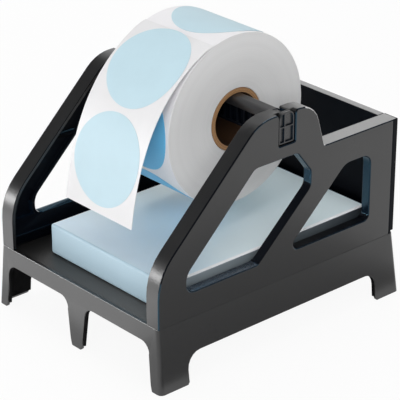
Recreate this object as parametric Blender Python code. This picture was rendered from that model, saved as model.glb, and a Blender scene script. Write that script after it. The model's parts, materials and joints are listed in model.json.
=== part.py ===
# Label roll holder for a desk: a snap-together plastic tray on a raised stand.
# A roll of round labels hangs on a lift-out spindle between two side frames, and a
# fan-fold stack of labels lies on the floor under the roll.
# Metres, +Z up. The origin is on the ground, under the middle of the holder.
# +X is the right-hand side frame, -Y is the open front.
# The seam is the line where the frames meet the stand. Depths are counted back from
# the front face of the frames, and heights up from the seam. The shares of a side
# frame's outline are shares of its depth.

import math

import bmesh
import bpy
from mathutils import Matrix, Vector

# Fits and fineness
CLEAR = 0.0003             # gap between two pieces that touch
OVERRUN = 0.0020           # how far a cutter runs past the face it opens
ARC_STEPS = 5              # straight segments in a fillet
ROUND_STEPS = 64           # segments round the roll and its core
SMOOTH_ANGLE = math.radians(30)

# Body, across the two side frames
BODY_WIDTH = 0.1384
BODY_DEPTH = 0.1776
STAND_HEIGHT = 0.0382      # ground to seam
FRAME_DEPTH = 0.0103       # a side frame from its inner edge to its outer face

# Stand
SIDE_FLARE = 0.0035        # how far each side wall leans out at the ground
FRONT_FLARE = 0.0008
REAR_FLARE = 0.0034
FRONT_PROUD = 0.0012       # the front wall stands ahead of the frames
REAR_PROUD = 0.0024        # the rear wall and the frames' rear strips stand back
STAND_CORNER = 0.0030      # radius of the stand's upright corners
STAND_WALL = 0.0030
LIP_WALL = 0.0016          # the foot of each wall is thinner
LIP_HEIGHT = 0.0020
LEDGE_THICKNESS = 0.0027
LEDGE_WIDTH = 0.0080
APRON_DROP = 0.0102        # front and rear wall under the seam, between the legs
ARCH_DROP = 0.0204         # side wall under the seam, between the legs
CORNER_LEG = 0.0082        # corner leg seen from the front
MID_LEG_TOP = 0.0166
MID_LEG_FOOT = 0.0092
APRON_FILLET = 0.0065
FOOT_FILLET = 0.0024
FRONT_LEG = 0.0208         # corner legs seen from the side, at the ground
REAR_LEG = 0.0198
FRONT_ARCH_FILLET = 0.0100
REAR_ARCH_FILLET = 0.0080

# Floor plate
FLOOR_THICKNESS = 0.0024
FLOOR_DROP = 0.0005        # its top below the seam
FLOOR_PLAY = 0.0013        # between its side edges and the frames' snap tabs

# Side frame outline
POST_RISE = 0.0307         # the front edge leans back above this height
RIM_DROP = 0.0275          # low rim under the frame's top edge
SLOPE_TOP_share = 0.4032   # where the slope meets the top
HUMP_BACK_share = 0.6363   # rear end of the top edge
HUMP_FOOT_share = 0.6808   # where the hump meets the low rim
STRIP_FOOT = 0.0015        # the rear strip ends this far above the seam
STRIP_STEP = 0.0020        # how far its end steps forwards
POST_BEND = 0.0320
SLOPE_BEND = 0.0240
HUMP_BEND = 0.0150
RIM_BEND = 0.0020
REAR_BEND = 0.0008

# Side frame bars, the two windows between them and the hollow inner side
SKIN = 0.0028              # outer skin
RIM_WALL = 0.0024          # edge wall round the outline
BAND_HEIGHT = 0.0150       # closed band under the windows
BAND_LEDGE = 0.0010        # its inner ledge above the window sills
BAND_DEPTH = 0.0063        # thickness of the band
EDGE_STEP = 0.0003         # the window edges are this much lower than the band
BAND_RAIL = 0.0008         # rail on the inner face of the band
RAIL_WIDTH = 0.0016
RAIL_HEIGHT = 0.0050
FRONT_POST = 0.0198
REAR_POST = 0.0192
SLOPE_BAR = 0.0172
TOP_BAR = 0.0264           # from the top edge down to the front window
RIM_BAR = 0.0162           # from the low rim down to the rear window
BRACE_BAR = 0.0143
BRACE_FOOT_share = 0.4020  # front edge of the brace at the band
WINDOW_BACK_share = 0.6244
BRACE_HEAD_share = 0.79    # of the front window's height up to its cut-off corner
WINDOW_EDGE = 0.0022       # wall round a window
CUT_RUN = 0.0105           # cut-off corner of the front window
CUT_RISE = 0.0133
WINDOW_BEND = 0.0060
SMALL_BEND = 0.0036
SLOPE_WINDOW_BEND = 0.0100
RIB_THICKNESS = 0.0018
RIB_HEIGHT = 0.0583        # cross rib in the slope bar
TAB_LENGTH = 0.0120        # snap tabs under the frame
TAB_THICKNESS = 0.0020
TAB_DROP = 0.0075
TAB_PLACES_share = (0.14, 0.50, 0.84)

# Slot for the spindle, open at the top of each frame
SLOT_MIDDLE_share = 0.5191
SLOT_DEPTH = 0.0187
SLOT_WIDTH = 0.0125        # outer recess, for the end plate
RECESS_DEPTH = 0.0036
NECK_SLOT = 0.0064         # the rest of the way through the frame
SLOT_LIP = 0.0025
NECK_LIP = 0.0012
SLOT_BLOCK = 0.0040        # solid plastic beside and under the slot

# Rear wall
REAR_WALL = 0.0030
TONGUE_PLAY = 0.0007       # between its end in the frame's hollow and the rail

# Roll and its cardboard core
ROLL_WIDTH = 0.0572
ROLL_RADIUS = 0.0500
ROLL_BEND = 0.0004
CORE_WALL = 0.00275
CORE_BORE = 0.0156         # radius
LABEL_MARGIN = 0.0021      # liner beside a label
LABEL_GAP = 0.0037         # liner between two labels
LABEL_THICKNESS = 0.0002
LABEL_STEPS = 14
TAIL_LABELS = 2            # labels on the drawn-off tail

# Spindle
HEAD_DROP = 0.0014         # its top under the frames' top
HEAD_WIDTH = 0.0090
HEAD_HEIGHT = 0.0052
HEAD_BEND = 0.0034
WEB_THICKNESS = 0.0030
KEEL_WIDTH = 0.0058
KEEL_HEIGHT = 0.0018
SPINDLE_RIB_PITCH = 0.0055
SPINDLE_RIB = 0.0012
RIB_INSET = 0.0008         # the ribs stop short of the head's edge
NECK_LAP = 0.0020          # the neck runs this far into bar and plate
NECK_CLEAR = 0.0002        # each side of the neck and of the end plate
NECK_BEND = 0.0020
PLATE_BEND = 0.0040
PLATE_RISE = 0.0001        # end plate above the frame's top
PANEL_SINK = 0.0006
PANEL_EDGE = 0.0009
PANEL_SPLIT_share = 0.36
PANEL_LEVEL_share = 0.54

# Tail of liner drawn off the roll
LINER_THICKNESS = 0.0003
TAIL_INSET = 0.0001        # each edge of the tail inside the roll's face
TAIL_END = 0.0160
TAIL_END_HEIGHT = 0.0395
TAIL_LEAN = math.radians(8.1)
TAIL_LEAVES = math.radians(118.0)
TAIL_WRAP = math.radians(8.5)
TAIL_TOP_PULL = 0.0339
TAIL_END_PULL = 0.0460
TAIL_STEPS = 24
TAIL_SAMPLES = 400
FIRST_MARGIN = 0.0045      # liner ahead of the first label

# Fan-fold stack
STACK_HEIGHT = 0.0184
STACK_START = 0.0147
STACK_REAR_GAP = 0.0076    # to the rear wall
STACK_ROOM = 0.0148        # clear height between the stack and the roll
STACK_SIDE = 0.0004        # clear of the right frame's inner edge
STACK_SIDE_GAP = 0.0164    # to the left frame's inner edge
STACK_BEND = 0.0012
STACK_BEND_STEPS = 3

# Colours
BLACK_PLASTIC = (0.030, 0.030, 0.032)
LINER_WHITE = (0.86, 0.86, 0.87)
LABEL_BLUE = (0.50, 0.76, 0.87)
STACK_BLUE = (0.45, 0.60, 0.72)
CARDBOARD = (0.32, 0.17, 0.08)

# Places worked out from the sizes above
OUTER = BODY_WIDTH / 2
INNER = OUTER - FRAME_DEPTH
SKIN_INNER = OUTER - SKIN
BAND_INNER = OUTER - BAND_DEPTH
EDGE_INNER = BAND_INNER + EDGE_STEP
RIB_INNER = EDGE_INNER + EDGE_STEP
RAIL_INNER = BAND_INNER - BAND_RAIL
FRONT_Y = (FRONT_PROUD + FRONT_FLARE - BODY_DEPTH - REAR_PROUD - REAR_FLARE) / 2
BACK_Y = FRONT_Y + BODY_DEPTH
WALL_BACK_Y = BACK_Y + REAR_PROUD - RIM_WALL - CLEAR
WALL_FRONT_Y = WALL_BACK_Y - REAR_WALL
SEAM_Z = STAND_HEIGHT
STAND_TOP = SEAM_Z - CLEAR
FLOOR_TOP = SEAM_Z - FLOOR_DROP
FLOOR_UNDER = FLOOR_TOP - FLOOR_THICKNESS
LEDGE_TOP = FLOOR_UNDER - CLEAR
LEDGE_UNDER = LEDGE_TOP - LEDGE_THICKNESS
STACK_UNDER = FLOOR_TOP + CLEAR
ROLL_Z = STACK_UNDER + STACK_HEIGHT + STACK_ROOM + ROLL_RADIUS
SPINDLE_TOP = ROLL_Z + CORE_BORE - CLEAR
FRAME_TOP = SPINDLE_TOP + HEAD_DROP
TOP_HEIGHT = FRAME_TOP - SEAM_Z
RIM_HEIGHT = TOP_HEIGHT - RIM_DROP
RIM_Z = SEAM_Z + RIM_HEIGHT
TAB_OUTER = OUTER - STAND_WALL - CLEAR
TAB_INNER = TAB_OUTER - TAB_THICKNESS
FLOOR_HALF = TAB_INNER - FLOOR_PLAY
SLOT_Y = FRONT_Y + BODY_DEPTH * SLOT_MIDDLE_share
SLOT_Z = FRAME_TOP - SLOT_DEPTH
SPINDLE_UNDER = SLOT_Z + CLEAR
CORE_RADIUS = CORE_BORE + CORE_WALL
TAIL_RADIUS = ROLL_RADIUS + CLEAR + LABEL_THICKNESS + CLEAR
LABEL_DIAMETER = ROLL_WIDTH - 2 * LABEL_MARGIN
LABEL_PITCH = LABEL_DIAMETER + LABEL_GAP
FIRST_LABEL = FIRST_MARGIN + LABEL_DIAMETER / 2
ROLL_LABELS = 1 + int((math.tau * TAIL_RADIUS - LABEL_DIAMETER) / LABEL_PITCH)


# Outlines

def fillet_loop(corners):
    """Points of a closed outline whose corners (u, v, radius) are rounded."""
    loop = []
    count = len(corners)
    for i, (u, v, radius) in enumerate(corners):
        here = Vector((u, v))
        back = Vector(corners[i - 1][:2]) - here
        ahead = Vector(corners[(i + 1) % count][:2]) - here
        room = min(back.length, ahead.length) / 2
        half = back.angle(ahead) / 2
        tangent = min(radius / math.tan(half), room)
        if tangent <= 0:
            loop.append((u, v))
            continue
        towards = (back.normalized() + ahead.normalized()).normalized()
        middle = here + towards * (tangent / math.cos(half))
        first = here + back.normalized() * tangent - middle
        last = here + ahead.normalized() * tangent - middle
        turn = -first.angle_signed(last)
        for k in range(ARC_STEPS + 1):
            spoke = first.copy()
            spoke.rotate(Matrix.Rotation(turn * k / ARC_STEPS, 2))
            loop.append(tuple(middle + spoke))
    return loop


def meet(line_a, line_b):
    """Crossing point of two lines, each a point and a direction."""
    (pa, da), (pb, db) = line_a, line_b
    cross = da.x * db.y - da.y * db.x
    along = ((pb.x - pa.x) * db.y - (pb.y - pa.y) * db.x) / cross
    return pa + da * along


def beside(line, distance):
    """The same line moved to the right of its direction."""
    point, ahead = line
    right = Vector((ahead.y, -ahead.x)).normalized()
    return point + right * distance, ahead


def inset_corners(corners, distance):
    """An anticlockwise outline with every edge moved inwards."""
    points = [Vector(c[:2]) for c in corners]
    count = len(points)
    lines = []
    for i in range(count):
        line = (points[i], points[(i + 1) % count] - points[i])
        lines.append(beside(line, -distance))
    moved = []
    for i in range(count):
        before, after = lines[i - 1][1], lines[i][1]
        point = meet(lines[i - 1], lines[i])
        left_turn = before.x * after.y - before.y * after.x > 0
        radius = corners[i][2] - distance if left_turn else corners[i][2] + distance
        moved.append((point.x, point.y, max(radius, 0)))
    return moved


# Meshes and objects

def finish_mesh(bm, name):
    """Orient a closed bmesh and link it as a new object."""
    bmesh.ops.recalc_face_normals(bm, faces=bm.faces)
    mesh = bpy.data.meshes.new(name)
    bm.to_mesh(mesh)
    bm.free()
    body = bpy.data.objects.new(name, mesh)
    bpy.context.scene.collection.objects.link(body)
    return body


def round_off(body):
    """Shade the curved stretches smooth and keep the real edges sharp."""
    body.data.shade_smooth()
    body.data.set_sharp_from_angle(angle=SMOOTH_ANGLE)
    return body


def prism(name, loop, start, stop, axis="X"):
    """Extrude an outline along X, from (Y, Z) points, or along Y, from (X, Z) points."""
    bm = bmesh.new()
    if axis == "X":
        verts = [bm.verts.new((start, u, v)) for u, v in loop]
        shift = Vector((stop - start, 0, 0))
    else:
        verts = [bm.verts.new((u, start, v)) for u, v in loop]
        shift = Vector((0, stop - start, 0))
    face = bm.faces.new(verts)
    grown = bmesh.ops.extrude_face_region(bm, geom=[face])
    moved = [e for e in grown["geom"] if isinstance(e, bmesh.types.BMVert)]
    bmesh.ops.translate(bm, verts=moved, vec=shift)
    return finish_mesh(bm, name)


def block(name, corner, opposite):
    """A box between two opposite corners."""
    corner, opposite = Vector(corner), Vector(opposite)
    size = Vector([abs(d) for d in opposite - corner])
    bm = bmesh.new()
    bmesh.ops.create_cube(bm, size=1.0)
    bmesh.ops.scale(bm, vec=size, verts=bm.verts)
    bmesh.ops.translate(bm, vec=(corner + opposite) / 2, verts=bm.verts)
    return finish_mesh(bm, name)


def loft(name, low, high):
    """A solid between two outlines of equally many (X, Y, Z) points."""
    bm = bmesh.new()
    floor = [bm.verts.new(p) for p in low]
    roof = [bm.verts.new(p) for p in high]
    bm.faces.new(floor)
    bm.faces.new(roof)
    for i in range(len(floor)):
        bm.faces.new((floor[i - 1], floor[i], roof[i], roof[i - 1]))
    return finish_mesh(bm, name)


def turned(name, profile):
    """Spin a closed profile of (X, radius) points about the roll's axis."""
    bm = bmesh.new()
    verts = [bm.verts.new((x, 0, radius)) for x, radius in profile]
    edges = [bm.edges.new((verts[i - 1], verts[i])) for i in range(len(verts))]
    bmesh.ops.spin(bm, geom=verts + edges, axis=(1, 0, 0), cent=(0, 0, 0),
                   angle=2 * math.pi, steps=ROUND_STEPS, use_merge=True)
    bmesh.ops.translate(bm, verts=bm.verts, vec=(0, SLOT_Y, ROLL_Z))
    return round_off(finish_mesh(bm, name))


def ribbon(name, stations, thickness):
    """A thin strip; a station is its middle (Y, Z), its outward side and half its width."""
    bm = bmesh.new()
    rings = []
    for middle, outward, half in stations:
        under = (middle.x, middle.y)
        over = tuple(middle + outward * thickness)
        ring = [(-half, *under), (half, *under), (half, *over), (-half, *over)]
        rings.append([bm.verts.new(p) for p in ring])
    bm.faces.new(rings[0])
    bm.faces.new(rings[-1])
    for back, ahead in zip(rings, rings[1:]):
        for i in range(len(back)):
            bm.faces.new((back[i - 1], back[i], ahead[i], ahead[i - 1]))
    return finish_mesh(bm, name)


def combine(target, tool, operation):
    """Apply one exact Boolean to target and remove the tool."""
    step = target.modifiers.new("combine", "BOOLEAN")
    step.operation = operation
    step.solver = "EXACT"
    step.object = tool
    graph = bpy.context.evaluated_depsgraph_get()
    result = bpy.data.meshes.new_from_object(target.evaluated_get(graph))
    target.modifiers.remove(step)
    old = target.data
    target.data = result
    bpy.data.meshes.remove(old)
    result.name = target.name
    bpy.data.objects.remove(tool)


def cut(target, tool):
    combine(target, tool, "DIFFERENCE")


def add(target, tool):
    combine(target, tool, "UNION")


def paint(body, colour, roughness):
    """Give a piece its own material."""
    material = bpy.data.materials.new(body.name + "_finish")
    material.use_nodes = True
    shader = material.node_tree.nodes["Principled BSDF"]
    shader.inputs["Base Color"].default_value = (*colour, 1.0)
    shader.inputs["Roughness"].default_value = roughness
    shader.inputs["Metallic"].default_value = 0.0
    body.data.materials.clear()
    body.data.materials.append(material)
    return body


def joint_point(name, place, parent=None):
    """An empty on a joint's axis, which carries the pieces that move with it."""
    empty = bpy.data.objects.new(name, None)
    bpy.context.scene.collection.objects.link(empty)
    empty.location = place
    empty.empty_display_size = STAND_WALL
    if parent:
        hang(empty, parent)
    bpy.context.view_layer.update()
    return empty


def hang(body, parent):
    """Parent a piece and leave it where it is."""
    body.parent = parent
    body.matrix_parent_inverse = parent.matrix_world.inverted()


# Stand

def stand_outline(height, inset):
    """The stand's outer wall at a height, moved inwards. The walls lean out below."""
    lean = 1 - height / SEAM_Z
    half = OUTER + SIDE_FLARE * lean - inset
    front = FRONT_Y - FRONT_PROUD - FRONT_FLARE * lean + inset
    back = BACK_Y + REAR_PROUD + REAR_FLARE * lean - inset
    bend = max(STAND_CORNER - inset, LIP_WALL / 2)
    corners = [(-half, front, bend), (half, front, bend),
               (half, back, bend), (-half, back, bend)]
    return [(x, y, height) for x, y in fillet_loop(corners)]


def stand_solid(name, low, high, inset):
    return loft(name, stand_outline(low, inset), stand_outline(high, inset))


def leg_edge(height):
    """Inner edge of a corner leg, seen from the front; it leans with the side wall."""
    return OUTER - CORNER_LEG + SIDE_FLARE * (1 - height / SEAM_Z)


def bay_corners():
    """Opening between the middle leg and a corner leg, in (X, Z)."""
    top = SEAM_Z - APRON_DROP
    foot = MID_LEG_FOOT / 2
    side = 2 * FOOT_FILLET
    return [(foot - side, -OVERRUN, 0), (leg_edge(0) + side, -OVERRUN, 0),
            (leg_edge(0) + side, -CLEAR, 0), (leg_edge(0), -CLEAR, FOOT_FILLET),
            (leg_edge(top), top, APRON_FILLET), (MID_LEG_TOP / 2, top, APRON_FILLET),
            (foot, -CLEAR, FOOT_FILLET), (foot - side, -CLEAR, 0)]


def arch_corners():
    """Opening between the front and rear legs, in (Y, Z)."""
    front = FRONT_Y - FRONT_PROUD - FRONT_FLARE + FRONT_LEG
    back = BACK_Y + REAR_PROUD + REAR_FLARE - REAR_LEG
    top = SEAM_Z - ARCH_DROP
    side = 2 * FOOT_FILLET
    return [(front - side, -OVERRUN, 0), (back + side, -OVERRUN, 0),
            (back + side, -CLEAR, 0), (back, -CLEAR, FOOT_FILLET),
            (back, top, REAR_ARCH_FILLET), (front, top, FRONT_ARCH_FILLET),
            (front, -CLEAR, FOOT_FILLET), (front - side, -CLEAR, 0)]


def tab_places():
    """Middle of each snap tab along Y."""
    return [FRONT_Y + BODY_DEPTH * share for share in TAB_PLACES_share]


def stand():
    body = stand_solid("stand", 0, STAND_TOP, 0)
    cut(body, stand_solid("foot_space", -OVERRUN, LIP_HEIGHT, LIP_WALL))
    cut(body, stand_solid("wall_space", -OVERRUN, LEDGE_UNDER, STAND_WALL))
    cut(body, stand_solid("tray_space", LEDGE_TOP, STAND_TOP + OVERRUN, STAND_WALL))
    cut(body, stand_solid("ledge_hole", LEDGE_UNDER - OVERRUN, LEDGE_TOP + OVERRUN,
                          STAND_WALL + LEDGE_WIDTH))
    reach_y = BODY_DEPTH
    reach_x = BODY_WIDTH
    bay = bay_corners()
    cut(body, prism("right_bay", fillet_loop(bay), -reach_y, reach_y, "Y"))
    left = [(-u, v, radius) for u, v, radius in bay]
    cut(body, prism("left_bay", fillet_loop(left), -reach_y, reach_y, "Y"))
    cut(body, prism("side_arch", fillet_loop(arch_corners()), -reach_x, reach_x))
    half = TAB_LENGTH / 2 + CLEAR
    for side in (-1, 1):
        for middle in tab_places():
            cut(body, block("tab_slot",
                            (side * (TAB_INNER - CLEAR), middle - half,
                             LEDGE_UNDER - OVERRUN),
                            (side * (TAB_OUTER + CLEAR), middle + half,
                             LEDGE_TOP + OVERRUN)))
    return paint(round_off(body), BLACK_PLASTIC, 0.45)


# Floor plate

def floor_plate():
    front = FRONT_Y - FRONT_PROUD + STAND_WALL + CLEAR
    body = block("floor_plate", (-FLOOR_HALF, front, FLOOR_UNDER),
                 (FLOOR_HALF, WALL_FRONT_Y - CLEAR, FLOOR_TOP))
    return paint(body, BLACK_PLASTIC, 0.42)


# Side frames

def placed(corners):
    """Corners given as depth and height, moved to the holder's own Y and Z."""
    return [(FRONT_Y + u, SEAM_Z + v, radius) for u, v, radius in corners]


def frame_corners(foot):
    """Outline of a side frame, anticlockwise; foot is the height of its lower edge."""
    back = BODY_DEPTH + REAR_PROUD
    return placed([
        (0, foot, 0), (back, foot, 0), (back, RIM_HEIGHT, REAR_BEND),
        (BODY_DEPTH * HUMP_FOOT_share, RIM_HEIGHT, RIM_BEND),
        (BODY_DEPTH * HUMP_BACK_share, TOP_HEIGHT, HUMP_BEND),
        (BODY_DEPTH * SLOPE_TOP_share, TOP_HEIGHT, SLOPE_BEND),
        (0, POST_RISE, POST_BEND)])


def window_corners():
    """The front and the rear window of a side frame, anticlockwise."""
    def level(height):
        return Vector((0, height)), Vector((1, 0))

    def upright(depth):
        return Vector((depth, 0)), Vector((0, 1))

    slope_run = BODY_DEPTH * SLOPE_TOP_share
    slope = (Vector((0, POST_RISE)), Vector((slope_run, TOP_HEIGHT - POST_RISE)))
    slope = beside(slope, SLOPE_BAR)
    back = BODY_DEPTH * WINDOW_BACK_share
    top = TOP_HEIGHT - TOP_BAR
    cut_foot = top - CUT_RISE
    brace_foot = Vector((BODY_DEPTH * BRACE_FOOT_share, BAND_HEIGHT))
    rise = (cut_foot - BAND_HEIGHT) * BRACE_HEAD_share
    brace_head = Vector((back, BAND_HEIGHT + rise))
    brace_back = beside((brace_foot, brace_head - brace_foot), BRACE_BAR)
    front_window = [
        (FRONT_POST, BAND_HEIGHT, WINDOW_BEND),
        (*brace_foot, SMALL_BEND),
        (*brace_head, WINDOW_BEND),
        (back, cut_foot, SMALL_BEND),
        (back - CUT_RUN, top, SMALL_BEND),
        (*meet(slope, level(top)), WINDOW_BEND),
        (*meet(slope, upright(FRONT_POST)), SLOPE_WINDOW_BEND)]
    far = BODY_DEPTH - REAR_POST
    rear_top = RIM_HEIGHT - RIM_BAR
    rear_window = [
        (*meet(brace_back, level(BAND_HEIGHT)), SMALL_BEND),
        (far, BAND_HEIGHT, SMALL_BEND),
        (far, rear_top, WINDOW_BEND),
        (*meet(brace_back, level(rear_top)), SLOPE_WINDOW_BEND)]
    return placed(front_window), placed(rear_window)


def slot_corners(width, lip, floor_bend):
    """A slot open at the frame's top, with rounded lips."""
    half = width / 2
    wide = half + 2 * lip
    lift = FRAME_TOP + CLEAR
    over = FRAME_TOP + OVERRUN
    return [(SLOT_Y - half, SLOT_Z, floor_bend), (SLOT_Y + half, SLOT_Z, floor_bend),
            (SLOT_Y + half, lift, lip), (SLOT_Y + wide, lift, 0),
            (SLOT_Y + wide, over, 0), (SLOT_Y - wide, over, 0),
            (SLOT_Y - wide, lift, 0), (SLOT_Y - half, lift, lip)]


def frame_hollow(side, windows):
    """What is missing from the inner side of a frame, as one solid to cut away."""
    hollow = prism("hollow", fillet_loop(inset_corners(
        frame_corners(-BAND_HEIGHT), RIM_WALL)),
        side * (INNER - OVERRUN), side * SKIN_INNER)
    past = side * (SKIN_INNER + OVERRUN)
    low = SEAM_Z - 2 * BAND_HEIGHT
    cut(hollow, block("band", (side * BAND_INNER, 2 * FRONT_Y, low),
                      (past, 2 * BACK_Y, SEAM_Z + BAND_HEIGHT + BAND_LEDGE)))
    for corners in windows:
        edge = fillet_loop(inset_corners(corners, -WINDOW_EDGE))
        cut(hollow, prism("window_edge", edge, side * EDGE_INNER, past))
    rib_low = SEAM_Z + RIB_HEIGHT - RIB_THICKNESS / 2
    cut(hollow, block("rib", (side * RIB_INNER, FRONT_Y, rib_low),
                      (past, SLOT_Y, rib_low + RIB_THICKNESS)))
    half = SLOT_WIDTH / 2 + SLOT_BLOCK
    cut(hollow, block("slot_block",
                      (side * (INNER - 2 * OVERRUN), SLOT_Y - half, SLOT_Z - SLOT_BLOCK),
                      (past, SLOT_Y + half, FRAME_TOP)))
    return hollow


def side_frame(name, side):
    outline = fillet_loop(frame_corners(0))
    body = prism(name, outline, side * INNER, side * OUTER)
    windows = window_corners()
    cut(body, frame_hollow(side, windows))
    for corners in windows:
        cut(body, prism("window", fillet_loop(corners),
                        side * (INNER - OVERRUN), side * (OUTER + OVERRUN)))
    past = side * (OUTER + OVERRUN)
    recess = fillet_loop(slot_corners(SLOT_WIDTH, SLOT_LIP, PANEL_EDGE))
    cut(body, prism("recess", recess, side * (OUTER - RECESS_DEPTH), past))
    neck = fillet_loop(slot_corners(NECK_SLOT, NECK_LIP, 0))
    cut(body, prism("neck_slot", neck, side * (INNER - OVERRUN), past))
    cut(body, block("strip_end",
                    (side * (INNER - OVERRUN), BACK_Y + REAR_PROUD - STRIP_STEP,
                     SEAM_Z - OVERRUN),
                    (past, BACK_Y + 2 * REAR_PROUD, SEAM_Z + STRIP_FOOT)))
    rail_low = SEAM_Z + RAIL_HEIGHT - RAIL_WIDTH / 2
    add(body, block("rail",
                    (side * RAIL_INNER, FRONT_Y + RIM_WALL / 2, rail_low),
                    (side * (BAND_INNER + BAND_RAIL), WALL_FRONT_Y - CLEAR,
                     rail_low + RAIL_WIDTH)))
    for middle in tab_places():
        add(body, block("tab",
                        (side * TAB_INNER, middle - TAB_LENGTH / 2, SEAM_Z - TAB_DROP),
                        (side * TAB_OUTER, middle + TAB_LENGTH / 2,
                         SEAM_Z + BAND_RAIL)))
    return paint(round_off(body), BLACK_PLASTIC, 0.45)


# Rear wall

def rear_wall():
    half = INNER - CLEAR
    body = block("rear_wall", (-half, WALL_FRONT_Y, SEAM_Z + CLEAR),
                 (half, WALL_BACK_Y, RIM_Z))
    reach = RAIL_INNER - TONGUE_PLAY
    add(body, block("tongues", (-reach, WALL_FRONT_Y, SEAM_Z + CLEAR),
                    (reach, WALL_BACK_Y, RIM_Z - RIM_WALL - CLEAR)))
    foot_half = FLOOR_HALF - TAB_THICKNESS
    foot_back = BACK_Y + REAR_PROUD - STAND_WALL - CLEAR
    add(body, block("foot", (-foot_half, WALL_FRONT_Y, FLOOR_UNDER),
                    (foot_half, foot_back, SEAM_Z + REAR_WALL)))
    return paint(round_off(body), BLACK_PLASTIC, 0.45)


# Spindle

def bar_corners(width, low, high, bend, foot_bend=0):
    """Upright bar section with a rounded top, in (Y, Z)."""
    half = width / 2
    return [(SLOT_Y - half, low, foot_bend), (SLOT_Y + half, low, foot_bend),
            (SLOT_Y + half, high, bend), (SLOT_Y - half, high, bend)]


def end_panels(side):
    """Four shallow panels on the outer face of an end plate."""
    half = SLOT_WIDTH / 2 - NECK_CLEAR - PANEL_EDGE
    low = SPINDLE_UNDER + PANEL_EDGE
    high = FRAME_TOP - PANEL_EDGE
    split = SLOT_Y - half + 2 * half * PANEL_SPLIT_share
    level = low + (high - low) * PANEL_LEVEL_share
    gap = PANEL_EDGE / 2
    panels = []
    for y_low, y_high in ((SLOT_Y - half, split - gap), (split + gap, SLOT_Y + half)):
        for z_low, z_high in ((low, level - gap), (level + gap, high)):
            bend = PLATE_BEND - PANEL_EDGE if z_high == high else 0
            outer_left = bend if y_low < split - gap else 0
            outer_right = bend if y_high > split + gap else 0
            corners = [(y_low, z_low, 0), (y_high, z_low, 0),
                       (y_high, z_high, outer_right), (y_low, z_high, outer_left)]
            panels.append(prism("panel", fillet_loop(corners),
                                side * (OUTER - PANEL_SINK), side * (OUTER + OVERRUN)))
    return panels


def spindle():
    reach = INNER - 2 * CLEAR
    head_under = SPINDLE_TOP - HEAD_HEIGHT
    head = bar_corners(HEAD_WIDTH, head_under, SPINDLE_TOP, HEAD_BEND)
    body = prism("spindle", fillet_loop(head), -reach, reach)
    inside = reach - NECK_LAP / 2
    keel_under = SPINDLE_UNDER + 2 * CLEAR
    keel_top = keel_under + KEEL_HEIGHT
    half = KEEL_WIDTH / 2
    add(body, block("keel", (-inside, SLOT_Y - half, keel_under),
                    (inside, SLOT_Y + half, keel_top)))
    half = WEB_THICKNESS / 2
    web_under = keel_under + KEEL_HEIGHT / 2
    add(body, block("web", (-inside + CLEAR, SLOT_Y - half, web_under),
                    (inside - CLEAR, SLOT_Y + half, head_under + HEAD_HEIGHT / 2)))
    half = HEAD_WIDTH / 2 - RIB_INSET
    count = int(inside / SPINDLE_RIB_PITCH)
    for i in range(-count, count + 1):
        middle = i * SPINDLE_RIB_PITCH
        add(body, block("rib",
                        (middle - SPINDLE_RIB / 2, SLOT_Y - half, web_under + CLEAR),
                        (middle + SPINDLE_RIB / 2, SLOT_Y + half,
                         head_under + RIB_INSET)))
    plate_inner = OUTER - RECESS_DEPTH + CLEAR
    neck = bar_corners(NECK_SLOT - 2 * NECK_CLEAR, SPINDLE_UNDER + CLEAR,
                       SPINDLE_TOP - CLEAR, NECK_BEND)
    plate = bar_corners(SLOT_WIDTH - 2 * NECK_CLEAR, SPINDLE_UNDER,
                        FRAME_TOP + PLATE_RISE, PLATE_BEND, PANEL_EDGE)
    for side in (-1, 1):
        add(body, prism("neck", fillet_loop(neck), side * (reach - NECK_LAP),
                        side * (plate_inner + NECK_LAP)))
        add(body, prism("plate", fillet_loop(plate), side * plate_inner, side * OUTER))
        for panel in end_panels(side):
            cut(body, panel)
    return paint(round_off(body), BLACK_PLASTIC, 0.40)


# Roll, core and labels

def ring_profile(inner, outer, width, bend):
    half = width / 2
    return [(-half, inner), (half, inner), (half, outer - bend), (half - bend, outer),
            (-half + bend, outer), (-half, outer - bend)]


def roll_core():
    half = ROLL_WIDTH / 2
    profile = [(-half, CORE_BORE), (half, CORE_BORE),
               (half, CORE_RADIUS), (-half, CORE_RADIUS)]
    return paint(turned("roll_core", profile), CARDBOARD, 0.85)


def label_roll():
    profile = ring_profile(CORE_RADIUS + CLEAR, ROLL_RADIUS, ROLL_WIDTH, ROLL_BEND)
    return paint(turned("label_roll", profile), LINER_WHITE, 0.55)


def tail_curve():
    """The liner's inner side from its free end to the roll, sampled finely, in (Y, Z)."""
    middle = Vector((SLOT_Y, ROLL_Z))
    out = Vector((math.cos(TAIL_LEAVES), math.sin(TAIL_LEAVES)))
    top = middle + out * TAIL_RADIUS
    top_pull = top + Vector((-out.y, out.x)) * TAIL_TOP_PULL
    end = Vector((FRONT_Y + TAIL_END, SEAM_Z + TAIL_END_HEIGHT))
    end_pull = end + Vector((math.sin(TAIL_LEAN), math.cos(TAIL_LEAN))) * TAIL_END_PULL
    points = []
    for i in range(TAIL_SAMPLES + 1):
        t = i / TAIL_SAMPLES
        s = 1 - t
        points.append(end * s ** 3 + end_pull * (3 * s * s * t)
                      + top_pull * (3 * s * t * t) + top * t ** 3)
    return points


TAIL_POINTS = tail_curve()
TAIL_LENGTHS = [0.0]
for near, far in zip(TAIL_POINTS, TAIL_POINTS[1:]):
    TAIL_LENGTHS.append(TAIL_LENGTHS[-1] + (far - near).length)
TAIL_FREE = TAIL_LENGTHS[-1]


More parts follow.
